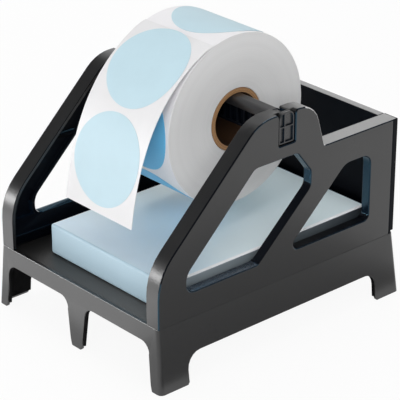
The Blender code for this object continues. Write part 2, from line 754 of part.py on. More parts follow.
def tape_place(distance, lift):
    """Point and outward side of the tape, measured along it from its free end."""
    if distance >= TAIL_FREE:
        angle = TAIL_LEAVES - (distance - TAIL_FREE) / TAIL_RADIUS
        outward = Vector((math.cos(angle), math.sin(angle)))
        return Vector((SLOT_Y, ROLL_Z)) + outward * (TAIL_RADIUS + lift), outward
    i = 0
    while TAIL_LENGTHS[i + 1] < distance:
        i += 1
    share = (distance - TAIL_LENGTHS[i]) / (TAIL_LENGTHS[i + 1] - TAIL_LENGTHS[i])
    point = TAIL_POINTS[i].lerp(TAIL_POINTS[i + 1], share)
    before = TAIL_POINTS[max(i - 1, 0)]
    after = TAIL_POINTS[min(i + 2, TAIL_SAMPLES)]
    ahead = (after - before).normalized()
    outward = Vector((-ahead.y, ahead.x))
    return point + outward * lift, outward


def label_tail():
    length = TAIL_FREE + TAIL_RADIUS * TAIL_WRAP
    stations = []
    for i in range(TAIL_STEPS + 1):
        point, outward = tape_place(length * i / TAIL_STEPS, 0)
        stations.append((point, outward, ROLL_WIDTH / 2 - TAIL_INSET))
    return paint(ribbon("label_tail", stations, LINER_THICKNESS), LINER_WHITE, 0.5)


def disc_rows():
    """Rows of a round label: place along the tape and half width, both from its middle."""
    radius = LABEL_DIAMETER / 2
    rows = []
    for i in range(LABEL_STEPS):
        angle = math.pi * (i + 1 / 2) / LABEL_STEPS
        rows.append((-radius * math.cos(angle), radius * math.sin(angle)))
    return rows


def tail_label(name, number):
    middle = FIRST_LABEL + LABEL_PITCH * number
    stations = []
    for along, half in disc_rows():
        point, outward = tape_place(middle + along, LINER_THICKNESS + CLEAR)
        stations.append((point, outward, half))
    return paint(ribbon(name, stations, LABEL_THICKNESS), LABEL_BLUE, 0.45)


def roll_label(name, number):
    """A label on the roll itself, counted along the tape from its free end."""
    radius = ROLL_RADIUS + CLEAR
    along_tape = FIRST_LABEL + LABEL_PITCH * number - TAIL_FREE
    middle = TAIL_LEAVES - along_tape / TAIL_RADIUS
    stations = []
    for along, half in disc_rows():
        angle = middle - along / radius
        outward = Vector((math.cos(angle), math.sin(angle)))
        stations.append((Vector((SLOT_Y, ROLL_Z)) + outward * radius, outward, half))
    return paint(ribbon(name, stations, LABEL_THICKNESS), LABEL_BLUE, 0.45)


# Fan-fold stack

def fanfold_stack():
    body = block("fanfold_stack",
                 (STACK_SIDE_GAP - INNER, FRONT_Y + STACK_START, STACK_UNDER),
                 (INNER - STACK_SIDE, WALL_FRONT_Y - STACK_REAR_GAP,
                  STACK_UNDER + STACK_HEIGHT))
    bevel = body.modifiers.new("soft_edges", "BEVEL")
    bevel.width = STACK_BEND
    bevel.segments = STACK_BEND_STEPS
    return paint(round_off(body), STACK_BLUE, 0.5)


def main():
    for old in list(bpy.data.objects):
        bpy.data.objects.remove(old)
    stand()
    floor_plate()
    side_frame("left_side_frame", -1)
    side_frame("right_side_frame", 1)
    rear_wall()

    seat = joint_point("spindle_seat", (0, SLOT_Y, SLOT_Z))
    axle = joint_point("roll_axle", (0, SLOT_Y, ROLL_Z), seat)
    track = joint_point("stack_track", (0, FRONT_Y + STACK_START, FLOOR_TOP))
    on_spindle = [spindle(), label_tail()]
    for i in range(TAIL_LABELS):
        on_spindle.append(tail_label(f"tail_label_{i + 1}", i))
    for piece in on_spindle:
        hang(piece, seat)
    on_roll = [roll_core(), label_roll()]
    for i in range(ROLL_LABELS):
        on_roll.append(roll_label(f"roll_label_{i + 1}", TAIL_LABELS + i))
    for piece in on_roll:
        hang(piece, axle)
    hang(fanfold_stack(), track)


main()
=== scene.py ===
# %% [markdown]
# This notebook dresses a desk holder for labels. A roll of round labels hangs on a
# lift-out spindle between two moulded side frames, its free end hangs down in front,
# and a folded stack of labels lies in the tray below.
# The working model gives every part's place. Here its edges are softened, the paper
# parts are modelled again as paper, and each surface gets its own finish.

# %% Load the working model
import json
import math
import bmesh
import bpy
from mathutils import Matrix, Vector
from mathutils.bvhtree import BVHTree


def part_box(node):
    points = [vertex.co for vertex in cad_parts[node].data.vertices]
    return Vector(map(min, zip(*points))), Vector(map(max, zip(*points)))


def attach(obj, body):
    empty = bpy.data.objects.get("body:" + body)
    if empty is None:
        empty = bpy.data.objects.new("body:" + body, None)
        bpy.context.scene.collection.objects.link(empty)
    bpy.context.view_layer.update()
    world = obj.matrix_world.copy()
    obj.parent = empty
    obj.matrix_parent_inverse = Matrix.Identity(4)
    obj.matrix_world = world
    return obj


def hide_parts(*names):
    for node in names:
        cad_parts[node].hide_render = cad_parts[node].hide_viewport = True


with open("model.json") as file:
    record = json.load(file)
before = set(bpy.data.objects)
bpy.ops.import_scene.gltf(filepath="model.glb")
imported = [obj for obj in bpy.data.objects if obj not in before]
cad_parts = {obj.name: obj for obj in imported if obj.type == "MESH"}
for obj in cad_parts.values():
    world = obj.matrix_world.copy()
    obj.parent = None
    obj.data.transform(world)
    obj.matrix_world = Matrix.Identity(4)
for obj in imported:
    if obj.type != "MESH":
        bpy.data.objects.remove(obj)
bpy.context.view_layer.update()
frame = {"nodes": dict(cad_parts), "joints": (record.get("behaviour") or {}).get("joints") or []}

# %% [markdown]
# Every place below is counted from the model itself: the frames' outer faces, the seam
# between frames and stand, the axis that the roll turns on. They could be typed in as
# numbers, but then the dressing would stay behind when the model changes.

# %% Places read from the model
FIT = 0.0003               # the gap that the model keeps between pieces that touch
FRAME_LOW, FRAME_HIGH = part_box("right_side_frame")
STAND_LOW, STAND_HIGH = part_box("stand")
STACK_LOW, STACK_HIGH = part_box("fanfold_stack")
ROLL_LOW, ROLL_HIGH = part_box("label_roll")
WALL_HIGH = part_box("rear_wall")[1]
OUTER = FRAME_HIGH.x
INNER = FRAME_LOW.x
FRONT_Y = FRAME_LOW.y
BACK_Y = WALL_HIGH.y
RIM_TOP = WALL_HIGH.z      # top of the rear wall and of the frames' rear ends
SEAM_Z = STAND_HIGH.z + FIT
AXIS = Vector(next(j["pos_m"] for j in frame["joints"] if j["name"] == "roll_spin"))
ROLL_RADIUS = (ROLL_HIGH.z - ROLL_LOW.z) / 2
ROLL_HALF = ROLL_HIGH.x
print("seam at", round(SEAM_Z, 4), "roll radius", round(ROLL_RADIUS, 4))

# %% [markdown]
# Cameras, lamps and meshes all enter the scene in the same way. Blender's Add menu has
# operators for it, but they depend on what is selected. Making the data first and then
# the object that holds it always gives the same result.

# %% Object helpers
def add_object(name, data):
    """Put a new object with this data into the scene."""
    made = bpy.data.objects.new(name, data)
    bpy.context.scene.collection.objects.link(made)
    return made


def mesh_object(name, bm):
    """Turn a bmesh into an object of the scene."""
    mesh = bpy.data.meshes.new(name)
    bm.to_mesh(mesh)
    bm.free()
    return add_object(name, mesh)


# %% [markdown]
# The photograph was taken with a long lens from the front right corner, well above the
# desk. A camera can track a target or be placed by angles, and angles are used here,
# because they are what a photograph lets us measure. A long lens keeps upright edges
# nearly parallel, so the camera stands a metre off and the focal length does the framing.

# %% Camera
CAMERA_TURN = math.radians(48.391)     # from straight ahead towards the right side
CAMERA_RISE = math.radians(25.150)
CAMERA_DISTANCE = 1.0985
CAMERA_TARGET = Vector((0.0244, -0.0218, 0.0777))
CAMERA_LENS = 177.5                    # millimetres, as is the sensor
CAMERA_SENSOR = 36.0
CAMERA_REACH = 20.0        # metres, far past the floor's end

camera_data = bpy.data.cameras.new("product_camera")
camera_data.lens = CAMERA_LENS
camera_data.sensor_width = CAMERA_SENSOR
camera_data.clip_end = CAMERA_REACH
camera = add_object("product_camera", camera_data)
towards = Vector((math.sin(CAMERA_TURN) * math.cos(CAMERA_RISE),
                  -math.cos(CAMERA_TURN) * math.cos(CAMERA_RISE),
                  math.sin(CAMERA_RISE)))
camera.location = CAMERA_TARGET + towards * CAMERA_DISTANCE
camera.rotation_euler = towards.to_track_quat("Z", "Y").to_euler()
bpy.context.scene.camera = camera
bpy.context.scene.view_settings.view_transform = "Standard"
print("camera at", [round(v, 3) for v in camera.location])

# %% [markdown]
# A material is a small graph of nodes. Built with a line for each node, setting and
# link, it soon takes pages. Writing each node in one call keeps the graphs readable: the
# feeds are numbers or the sockets of other nodes.

# %% Node helpers
def add_node(tree, kind, feeds=None, **settings):
    """Add a shader node, set its options and feed its inputs."""
    made = tree.nodes.new("ShaderNode" + kind)
    for setting, value in settings.items():
        setattr(made, setting, value)
    for name, value in (feeds or {}).items():
        if isinstance(value, bpy.types.NodeSocket):
            tree.links.new(value, made.inputs[name])
        else:
            made.inputs[name].default_value = value
    return made


def new_material(name):
    """An empty material, its graph and its main shader."""
    material = bpy.data.materials.new(name)
    material.use_nodes = True
    return material, material.node_tree, material.node_tree.nodes["Principled BSDF"]


def feed(tree, shader, **sockets):
    """Connect sockets to the shader's inputs; Base_Color means Base Color."""
    for name, socket in sockets.items():
        tree.links.new(socket, shader.inputs[name.replace("_", " ")])


print("materials so far:", len(bpy.data.materials))

# %% [markdown]
# Real surfaces are uneven at two scales: patches as wide as a finger, and a grain that
# is hardly seen. Pictures of surfaces could supply both, but they repeat and stretch.
# Noise in the object's own coordinates does neither.

# %% Pattern helpers
NOISE_RANGE = (0.3, 0.7)   # where most values of Blender's noise lie


def noise(tree, place, size, detail=2.0, rough=0.5):
    """Soft random values with blotches of about the given size in metres."""
    feeds = {"Vector": place, "Scale": 1 / size, "Detail": detail, "Roughness": rough}
    return add_node(tree, "TexNoise", feeds).outputs["Fac"]


def lines(tree, distance, pitch):
    """A random value for each step of the given pitch along a distance."""
    feeds = {"W": distance, "Scale": 1 / pitch, "Detail": 2.0}
    return add_node(tree, "TexNoise", feeds, noise_dimensions="1D").outputs["Fac"]


def spread(tree, value, low, high, source=NOISE_RANGE):
    """Stretch a value from the source range to low and high."""
    feeds = {"Value": value, "From Min": source[0], "From Max": source[1],
             "To Min": low, "To Max": high}
    return add_node(tree, "MapRange", feeds).outputs["Result"]


def object_place(tree):
    """The point on the object's surface, in its own coordinates."""
    return add_node(tree, "TexCoord").outputs["Object"]


def along(tree, place, axis):
    """One of a point's three coordinates."""
    return add_node(tree, "SeparateXYZ", {"Vector": place}).outputs[axis]


print("noise is stretched from", NOISE_RANGE)

# %% [markdown]
# Patterns then have to become a colour, a roughness or a relief. A relief could really
# move the surface, with a very fine mesh under it. For grain and fibres a Bump node is
# enough: it only tilts the normals, as if the heights were there.

# %% Mixing helpers
def combine(tree, operation, first, second):
    """One number from two, by one of the Math node's operations."""
    return add_node(tree, "Math", {0: first, 1: second}, operation=operation).outputs[0]


def mix_colours(tree, factor, first, second):
    """Blend two colours; a colour is three numbers or a socket."""
    colours = []
    for colour in (first, second):
        is_socket = isinstance(colour, bpy.types.NodeSocket)
        colours.append(colour if is_socket else (*colour, 1.0))
    feeds = {0: factor, 6: colours[0], 7: colours[1]}
    return add_node(tree, "Mix", feeds, data_type="RGBA").outputs[2]


def bump(tree, height, depth, normal=None):
    """Turn heights from 0 to 1 into a relief of the given depth in metres."""
    feeds = {"Height": height, "Distance": depth}
    if normal is not None:
        feeds["Normal"] = normal
    return add_node(tree, "Bump", feeds).outputs["Normal"]


print("patterns can become colours, roughness and relief")

# %% [markdown]
# A product shot on white has a bright backdrop near the horizon, a darker room above
# it, and a few large soft lamps. Black plastic shows this more than anything: its faces
# are dark because they mirror the dark part of the room, and the tops are pale because
# they mirror the lamp behind the holder; the rear tops get a painted sheen as well. A
# picture of a studio could surround the scene, but a gradient by height needs no file and
# is easy to tune. It is darker on the photographer's side, and what the camera sees of it
# is plain white.

# %% World
BACKDROP = 1.0             # brightness of the backdrop near the horizon
ROOM = 0.08                # brightness of the room above it
BACKDROP_HEIGHTS = (0.04, 0.27)        # sines of the heights between which it ends
BEHIND_CAMERA = 0.05       # share of the brightness on the photographer's side
BEHIND_RANGE = (0.1, 0.6)  # how far towards the camera that side starts and is full
WHITE = (1, 1, 1, 1)

world = bpy.data.worlds.new("studio")
bpy.context.scene.world = world
world.use_nodes = True
tree = world.node_tree
tree.nodes.clear()
heading = add_node(tree, "TexCoord").outputs["Generated"]
upward = along(tree, heading, "Z")
glow = spread(tree, upward, BACKDROP, ROOM, source=BACKDROP_HEIGHTS)
behind = add_node(tree, "VectorMath", {0: heading, 1: (towards.x, towards.y, 0)},
                  operation="DOT_PRODUCT").outputs["Value"]
fade = spread(tree, behind, 1.0, BEHIND_CAMERA, source=BEHIND_RANGE)
glow = combine(tree, "MULTIPLY", glow, fade)
seen = add_node(tree, "LightPath").outputs["Is Camera Ray"]
plain = add_node(tree, "Background", {"Color": WHITE, "Strength": BACKDROP})
room = add_node(tree, "Background", {"Color": WHITE, "Strength": glow})
both = add_node(tree, "MixShader", {0: seen, 1: room.outputs[0], 2: plain.outputs[0]})
add_node(tree, "OutputWorld", {"Surface": both.outputs[0]})
print("world", world.name, "has", len(tree.nodes), "nodes")

# %% [markdown]
# The lamps are large rectangles. Small ones would light the paper as well, but they
# leave hard shadows, and black plastic mirrors a lamp's own shape: a soft sheen on the
# tops, one bright band down the frames' bends. So each lamp has the shape that its
# reflection needs. Two fills light the shaded sides and are not mirrored at all, and two
# shines are mirrored and light nothing.

# %% Lamps
LAMP_DISTANCE = 1.5
LAMPS = (                  # name, direction, width, height, brightness
    ("rear_left_lamp", (-0.68, 0.60, 0.38), 1.3, 0.9, 1.3),
    ("low_left_lamp", (-0.72, -0.69, 0.07), 0.9, 0.2, 4.2),
    ("front_lamp", (0.12, -0.95, 0.20), 1.2, 0.55, 2.3),
    ("right_lamp", (0.85, 0.02, 0.55), 1.0, 0.8, 1.0),
    ("top_lamp", (-0.10, 0.15, 1.0), 1.5, 1.5, 1.75),
)
FILLS = (
    ("camera_side_fill", (0.62, -0.62, 0.48), 1.2, 1.0, 3.1),
    ("left_fill", (-0.90, -0.15, 0.22), 1.0, 0.4, 3.2),
)


def soft_lamp(name, place, facing, width, height, radiance):
    """A rectangular lamp that shines against facing; radiance is its brightness."""
    data = bpy.data.lights.new(name, "AREA")
    data.shape = "RECTANGLE"
    data.size = width
    data.size_y = height
    data.energy = radiance * math.pi * width * height
    lamp = add_object(name, data)
    lamp.location = place
    lamp.rotation_euler = facing.to_track_quat("Z", "Y").to_euler()
    lamp.visible_camera = False
    return lamp


def far_lamp(name, direction, width, height, radiance):
    """A soft lamp that faces the holder from the given direction."""
    facing = Vector(direction).normalized()
    return soft_lamp(name, AXIS + facing * LAMP_DISTANCE, facing, width, height, radiance)


for lamp in LAMPS:
    far_lamp(*lamp)
for fill in FILLS:
    far_lamp(*fill).visible_glossy = False

table_shine = soft_lamp("table_shine", place=(-0.14, -0.24, 0.002),
                        facing=Vector((0, 0, -1)), width=0.30, height=0.26, radiance=0.9)
bend_shine = far_lamp("bend_shine", direction=(-0.69, -0.70, 0.07), width=0.8,
                      height=0.14, radiance=16.0)
for shine in (table_shine, bend_shine):
    shine.visible_diffuse = False
print("lamps", [lamp.name for lamp in bpy.data.lights])

# %% [markdown]
# The floor is a wide pale sheet. A shadow catcher would need a second pass to put white
# behind the holder. Here the sheet is white in the picture and still carries the
# holder's shadow, because the camera sees part of it as plain white and the rest lit.

# %% Floor
FLOOR_HALF = 4.0
FLOOR_STEPS = 8            # faces along each side
FLOOR_GLOW = 0.92          # share of plain white in what the camera sees
FLOOR_GREY = (0.92, 0.92, 0.92, 1)
CARD_ROUGHNESS = 0.9       # of the floor and of the cards that lie on it


def flat_sheet(name, low, high, height, steps=1):
    """A flat rectangle between two corners in X and Y, with steps faces a side."""
    bm = bmesh.new()
    bmesh.ops.create_grid(bm, x_segments=steps, y_segments=steps, size=0.5)
    bmesh.ops.scale(bm, verts=bm.verts, vec=(high.x - low.x, high.y - low.y, 1))
    centre = (high + low) / 2
    bmesh.ops.translate(bm, verts=bm.verts, vec=(centre.x, centre.y, height))
    return mesh_object(name, bm)


def matt_card(name, colour):
    """A matt material of one tone for the stage."""
    material, tree, shader = new_material(name)
    shader.inputs["Base Color"].default_value = colour
    shader.inputs["Roughness"].default_value = CARD_ROUGHNESS
    return material, tree, shader


corner = Vector((FLOOR_HALF, FLOOR_HALF))
floor = flat_sheet("studio_floor", -corner, corner, 0, FLOOR_STEPS)
material, tree, shader = matt_card("studio_floor", FLOOR_GREY)
light_path = add_node(tree, "LightPath").outputs
mirrored = combine(tree, "MAXIMUM", light_path["Is Glossy Ray"],
                   light_path["Is Transmission Ray"])
seen = combine(tree, "MAXIMUM", light_path["Is Camera Ray"], mirrored)
glowing = combine(tree, "MULTIPLY", seen, FLOOR_GLOW)
plain_white = add_node(tree, "Emission", {"Color": WHITE, "Strength": 1.0})
mixed = add_node(tree, "MixShader", {0: glowing, 1: shader.outputs[0],
                                     2: plain_white.outputs[0]})
tree.links.new(mixed.outputs[0], tree.nodes["Material Output"].inputs["Surface"])
floor.data.materials.append(material)
print("floor", 2 * FLOOR_HALF, "m wide")

# %% [markdown]
# A photographer keeps black mouldings from going grey with dark cards just out of the
# picture: the right-hand faces mirror a grey card instead of the floor, and the space
# under the stand mirrors a black one, as it would its own shadow. A duller plastic would
# be dark as well, but it would lose its shine everywhere. The cards are seen by mirror
# rays alone, so they neither show nor cast a shadow.

# %% Dark cards
CARD_LIFT = 0.001
CARD_GAP = 0.012           # from the right frame to the grey card
CARD_WIDE = 0.15           # how far the card reaches from that frame
CARD_AHEAD = 0.02          # how far it reaches in front of the frames
CARD_REAR_Y = 0.12
UNDER_STAND = 0.97         # share of the stand's length and width under the black card
GREY_TONE = 0.45
BLACK_TONE = 0.02


def dark_card(name, low, high, tone):
    """A card lying on the floor between two corners in X and Y."""
    card = flat_sheet(name, low, high, CARD_LIFT)
    material = matt_card(name, (tone, tone, tone, 1))[0]
    card.data.materials.append(material)
    card.visible_camera = card.visible_diffuse = card.visible_shadow = False
    print(name, "from", low[:], "to", high[:])


dark_card("grey_card", Vector((OUTER + CARD_GAP, FRONT_Y - CARD_AHEAD)),
          Vector((OUTER + CARD_WIDE, CARD_REAR_Y)), GREY_TONE)
dark_card("black_card", STAND_LOW.xy * UNDER_STAND, STAND_HIGH.xy * UNDER_STAND,
          BLACK_TONE)

# %% [markdown]
# All the holder's mouldings are black plastic with a fine spark-eroded grain. The grain
# could be cut into the mesh, but it is far too fine for that: a noise gives it relief up
# close, and from a step away it only makes the shine uneven. Hands and paper polish some
# patches, so the roughness also drifts slowly. One recipe serves every moulding, and
# only colour, roughness and gloss differ.

# %% Black plastic
GRAIN_SIZE = 0.00042       # metres, as all sizes here
GRAIN_DEPTH = 0.000016
GRAIN_PALER = 1.45         # how much paler the grain's peaks are
GRAIN_ROUGHNESS = 0.04     # how much it changes the roughness, up and down
POLISHED_SIZE = 0.021      # width of the polished patches
POLISHED = -0.02           # change of roughness in the most polished patches
DULLED = 0.03              # and in the dullest ones
PLASTIC_IOR = 1.50


def moulded_plastic(name, colour, roughness, gloss=0.8, painted_right_light=None,
                    painted_reflection_tint=(1.0, 1.0, 1.0)):
    """Plastic with moulded grain. An optional colour that it turns to towards the right side
    is painted light, and an optional tint of what it mirrors is a painted reflection."""
    material, tree, shader = new_material(name)
    place = object_place(tree)
    grain = noise(tree, place, GRAIN_SIZE, detail=3.0, rough=0.6)
    cloud = noise(tree, place, POLISHED_SIZE, detail=4.0)
    patchy = spread(tree, cloud, roughness + POLISHED, roughness + DULLED)
    fine = spread(tree, grain, -GRAIN_ROUGHNESS, GRAIN_ROUGHNESS)
    paler = tuple(c * GRAIN_PALER for c in colour)
    tone = mix_colours(tree, spread(tree, grain, 0.0, 1.0), colour, paler)
    # Painted light: towards the right side the colour turns paler.
    if painted_right_light:
        across = spread(tree, along(tree, place, "X"), 0.0, 1.0, source=(-INNER, INNER))
        tone = mix_colours(tree, across, tone, painted_right_light)
    feed(tree, shader, Base_Color=tone, Roughness=combine(tree, "ADD", patchy, fine),
         Normal=bump(tree, grain, GRAIN_DEPTH))
    shader.inputs["IOR"].default_value = PLASTIC_IOR
    shader.inputs["Specular IOR Level"].default_value = gloss
    shader.inputs["Specular Tint"].default_value = (*painted_reflection_tint, 1.0)
    print("finish", name, "roughness", roughness)
    return material


black_plastic = moulded_plastic("black_plastic", colour=(0.009, 0.009, 0.0095),
                                roughness=0.32)
# The floor plate turns paler towards its right side: painted light.
floor_plastic = moulded_plastic("floor_plastic", colour=(0.006, 0.006, 0.006),
                                roughness=0.42, gloss=0.5, painted_right_light=(0.085, 0.081, 0.077))
spindle_plastic = moulded_plastic("spindle_plastic", colour=(0.012, 0.012, 0.013),
                                  roughness=0.30)

# %% [markdown]
# Some faces of the mouldings get a finish of their own. The frames' hollow inner side
# is dull and nearly black, which is painted shade. The windows' walls are smooth, and
# their blue tint is a painted reflection of the blue paper beside them. Edges and rims
# get a paler colour as painted highlights, the rear tops as painted sheen, and the front
# sill a blue tone as painted reflection. Vertex paint could blend these, but the changes
# lie on sharp edges of the real mouldings, so whole faces get a finish of their own.

# %% Finishes of single faces
# Painted shade: a dull, nearly black finish for hollows and recesses.
painted_shade_plastic = moulded_plastic("painted_shade_plastic", colour=(0.0012, 0.002, 0.004),
                                roughness=0.5, gloss=0.10)
# Smoother than the rest; its blue tint is a painted reflection of the blue paper.
smooth_blue_reflection_plastic = moulded_plastic("smooth_blue_reflection_plastic", colour=(0.003, 0.007, 0.014),
                                 roughness=0.22, gloss=0.9,
                                 painted_reflection_tint=(0.35, 0.75, 1.0))
# A blue tone: a painted reflection of the stack in the front window's sill.
sill_blue_reflection_plastic = moulded_plastic("sill_blue_reflection_plastic", colour=(0.022, 0.034, 0.052),
                               roughness=0.25)
# Pale: a painted highlight on chosen edges.
edge_highlight_plastic = moulded_plastic("edge_highlight_plastic", colour=(0.55, 0.55, 0.55),
                                 roughness=0.25)
# Pale: a painted highlight along the stand's front rim.
rim_highlight_plastic = moulded_plastic("rim_highlight_plastic", colour=(0.28, 0.28, 0.28), roughness=0.25)
# Pale grey: a painted sheen on the flat tops at the rear.
top_sheen_plastic = moulded_plastic("top_sheen_plastic", colour=(0.19, 0.19, 0.19), roughness=0.32)

# %% [markdown]
# Paper is never one even colour: fibres scatter the light and the coating is thin in
# places. A scan would show one sheet's fibres again and again, so two noises are used
# instead, fibres for roughness and the faintest relief, patches for the tone. The liner
# is a glossy release paper, the labels are matt.

# %% Papers
FIBRE_SIZE = 0.00035
FIBRE_DEPTH = 0.000006
PAPER_PATCH = 0.014        # width of the patches that differ in tone
PAPER_DRIFT = 0.03         # how much darker the patches are
PAPER_GLOSSIER = -0.04     # change of roughness between the fibres
PAPER_DULLER = 0.05        # and on them
# Painted light on the stack's top: it turns paler between these two places.
NEAR_TONE_TO = 0.01        # the stack's near tone ends this far behind its front
FAR_TONE_FROM = 0.05       # and its far tone is reached here


def paper(name, colour, roughness, rear_painted_light=None):
    """Coated paper; an optional rear tone, towards the stack's rear end, is painted light."""
    material, tree, shader = new_material(name)
    place = object_place(tree)
    fibres = noise(tree, place, FIBRE_SIZE, detail=4.0, rough=0.65)
    cloud = noise(tree, place, PAPER_PATCH, detail=3.0)
    darker = tuple(c * (1 - PAPER_DRIFT) for c in colour)
    tone = mix_colours(tree, spread(tree, cloud, 0.0, 1.0), darker, colour)
    if rear_painted_light:
        ends = (STACK_LOW.y + NEAR_TONE_TO, STACK_LOW.y + FAR_TONE_FROM)
        farther = spread(tree, along(tree, place, "Y"), 0.0, 1.0, source=ends)
        tone = mix_colours(tree, farther, tone, rear_painted_light)
    uneven = spread(tree, fibres, roughness + PAPER_GLOSSIER, roughness + PAPER_DULLER)
    feed(tree, shader, Base_Color=tone, Roughness=uneven,
         Normal=bump(tree, fibres, FIBRE_DEPTH))
    print("finish", name, "roughness", roughness)
    return material


liner_paper = paper("liner_paper", colour=(0.79, 0.785, 0.795), roughness=0.42)
# The same liner, paler on the roll: painted light in the shade round the roll.
wound_liner_painted_light = paper("wound_liner_painted_light", colour=(0.86, 0.85, 0.87), roughness=0.42)
label_paper = paper("label_paper", colour=(0.53, 0.71, 0.79), roughness=0.55)
shaded_label_paper = paper("shaded_label_paper", colour=(0.15, 0.53, 0.84),
                           roughness=0.42)
# The stack's top turns paler towards the rear, under the roll's shade: painted light.
stack_label_paper = paper("stack_label_paper", colour=(0.70, 0.85, 0.95), roughness=0.40,
                          rear_painted_light=(0.83, 0.96, 1.0))
# A painted highlight along the rounded edges of the stack's top.
stack_edge_highlight_paper = paper("stack_edge_highlight_paper", colour=(0.96, 0.98, 1.0), roughness=0.40)

# %% [markdown]
# The flat face of a roll is hundreds of paper edges. Modelling each turn would take a
# million faces for something that is seen only as fine rings. The turns differ a little
# in tone, so the pattern depends only on the distance from the roll's axis: a Mapping
# node moves the axis to the middle, and the length of what remains is that distance.

# %% Wound paper
ACROSS_AXIS = (0, 1, 1)    # leaves out X, along which the axis runs
TURN_PITCH = 0.0004
TURN_DEPTH = 0.00003
BAND_PITCH = 0.0060        # bands of turns that were wound a little looser
EDGE_FIBRE = 0.0005
EDGE_ROUGHNESS = (0.48, 0.60)


def axis_distance(tree, place):
    """Distance from the roll's axis at each point of the surface."""
    moved = add_node(tree, "Mapping", {"Vector": place, "Location": tuple(-AXIS)})
    flat = add_node(tree, "VectorMath", {0: moved.outputs[0], 1: ACROSS_AXIS},
                    operation="MULTIPLY")
    return add_node(tree, "VectorMath", {0: flat.outputs[0]},
                    operation="LENGTH").outputs["Value"]


def wound_paper(name, colour, edge_colour):
    """The roll's flat faces, where each turn shows as a fine ring."""
    material, tree, shader = new_material(name)
    place = object_place(tree)
    distance = axis_distance(tree, place)
    fine = lines(tree, distance, TURN_PITCH)
    broad = lines(tree, distance, BAND_PITCH)
    rings = combine(tree, "ADD", spread(tree, fine, 0, 0.5), spread(tree, broad, 0, 0.5))
    fibres = noise(tree, place, EDGE_FIBRE, detail=3.0)
    relief = bump(tree, fine, TURN_DEPTH)
    feed(tree, shader, Base_Color=mix_colours(tree, rings, edge_colour, colour),
         Roughness=spread(tree, fibres, *EDGE_ROUGHNESS),
         Normal=bump(tree, fibres, FIBRE_DEPTH, normal=relief))
    print("finish", name, "rings every", TURN_PITCH)
    return material


roll_paper = wound_paper("roll_paper", colour=(0.80, 0.80, 0.802),
                         edge_colour=(0.74, 0.74, 0.742))

# %% [markdown]
# The core is a tube of grey-brown board, wound from plies and much rougher than paper.
# Its end shows the plies as rings, so it uses the same distance as the roll's face. The
# bore is the same board in its own shade, too deep for light to reach, and a darker
# colour there saves a very long render.

# %% Cardboard
PLY_PITCH = 0.0005
PLY_DEPTH = 0.00008
BOARD_FIBRE = 0.0009
BOARD_FIBRE_DEPTH = 0.00006
BOARD_MOTTLE = (0.12, 0.40)            # range of plies times fibres
BOARD_ROUGHNESS = (0.78, 0.92)


def cardboard(name, colour, dark):
    """Wound board with plies and coarse fibres."""
    material, tree, shader = new_material(name)
    place = object_place(tree)
    plies = lines(tree, axis_distance(tree, place), PLY_PITCH)
    fibres = noise(tree, place, BOARD_FIBRE, detail=5.0, rough=0.7)
    mottle = combine(tree, "MULTIPLY", plies, fibres)
    tone = mix_colours(tree, spread(tree, mottle, 0, 1, BOARD_MOTTLE), dark, colour)
    relief = bump(tree, plies, PLY_DEPTH)
    feed(tree, shader, Base_Color=tone, Roughness=spread(tree, fibres, *BOARD_ROUGHNESS),
         Normal=bump(tree, fibres, BOARD_FIBRE_DEPTH, normal=relief))
    print("finish", name, "plies every", PLY_PITCH)
    return material


core_board = cardboard("core_board", colour=(0.48, 0.27, 0.125), dark=(0.30, 0.16, 0.07))
bore_board = cardboard("bore_board", colour=(0.10, 0.05, 0.022), dark=(0.05, 0.022, 0.010))

# %% [markdown]
# The stack is one long strip of labels, folded back and forth. Its sides show each layer
# as a thin line. Every layer could be its own sheet, but from a step away only the lines
# are seen, so a noise along Z draws them and a shallow relief lets them catch the light.
# The long sides, seen through the frames' windows, get a darker tone that darkens further
# towards the rear: painted shade.

# %% Folded paper
LAYER_PITCH = 0.00045
LAYER_DEPTH = 0.00003
LAYER_PATCH = 0.018        # width of the patches that differ in tone
LAYER_SHARE = 0.6          # of the tone's change; the rest comes from the patches
LAYER_ROUGHNESS = (0.42, 0.52)
DARK_END = 0.010           # the far tone is reached this far before the rear end


def folded_paper(name, colour, edge_colour, rear_painted_light=None):
    """The stack's sides, where each layer shows as a thin line."""
    material, tree, shader = new_material(name)
    place = object_place(tree)
    layers = lines(tree, along(tree, place, "Z"), LAYER_PITCH)
    cloud = noise(tree, place, LAYER_PATCH, detail=3.0)
    mixed = combine(tree, "ADD", spread(tree, layers, 0, LAYER_SHARE),
                    spread(tree, cloud, 0, 1 - LAYER_SHARE))
    tone = mix_colours(tree, mixed, edge_colour, colour)
    # Painted shade: darker towards the rear end.
    if rear_painted_light:
        ends = (STACK_LOW.y, STACK_HIGH.y - DARK_END)
        farther = spread(tree, along(tree, place, "Y"), 0.0, 1.0, source=ends)
        tone = mix_colours(tree, farther, tone, rear_painted_light)
    feed(tree, shader, Base_Color=tone, Roughness=spread(tree, cloud, *LAYER_ROUGHNESS),
         Normal=bump(tree, layers, LAYER_DEPTH))
    print("finish", name, "layers every", LAYER_PITCH)
    return material


stack_paper = folded_paper("stack_paper", colour=(0.50, 0.67, 0.77),
                           edge_colour=(0.45, 0.61, 0.71))
# A darker copy of the stack's paper for the long sides: painted shade.
side_paper_painted_shade = folded_paper("side_paper_painted_shade", colour=(0.40, 0.47, 0.52),
                          edge_colour=(0.35, 0.42, 0.46),
                          rear_painted_light=(0.05, 0.062, 0.074))

# %% [markdown]
# The mouldings start as copies of the model's own parts, so they can't drift from it.
# They could be modelled again, at the risk of small errors. The model's meshes are loose
# triangles, so these are joined first, and flat faces are dissolved into one, or a bevel
# would have nothing to slide along. A wall with an arch in it is then split into convex
# faces again, because a face that goes round a hollow can fold over itself once its
# corners have moved.

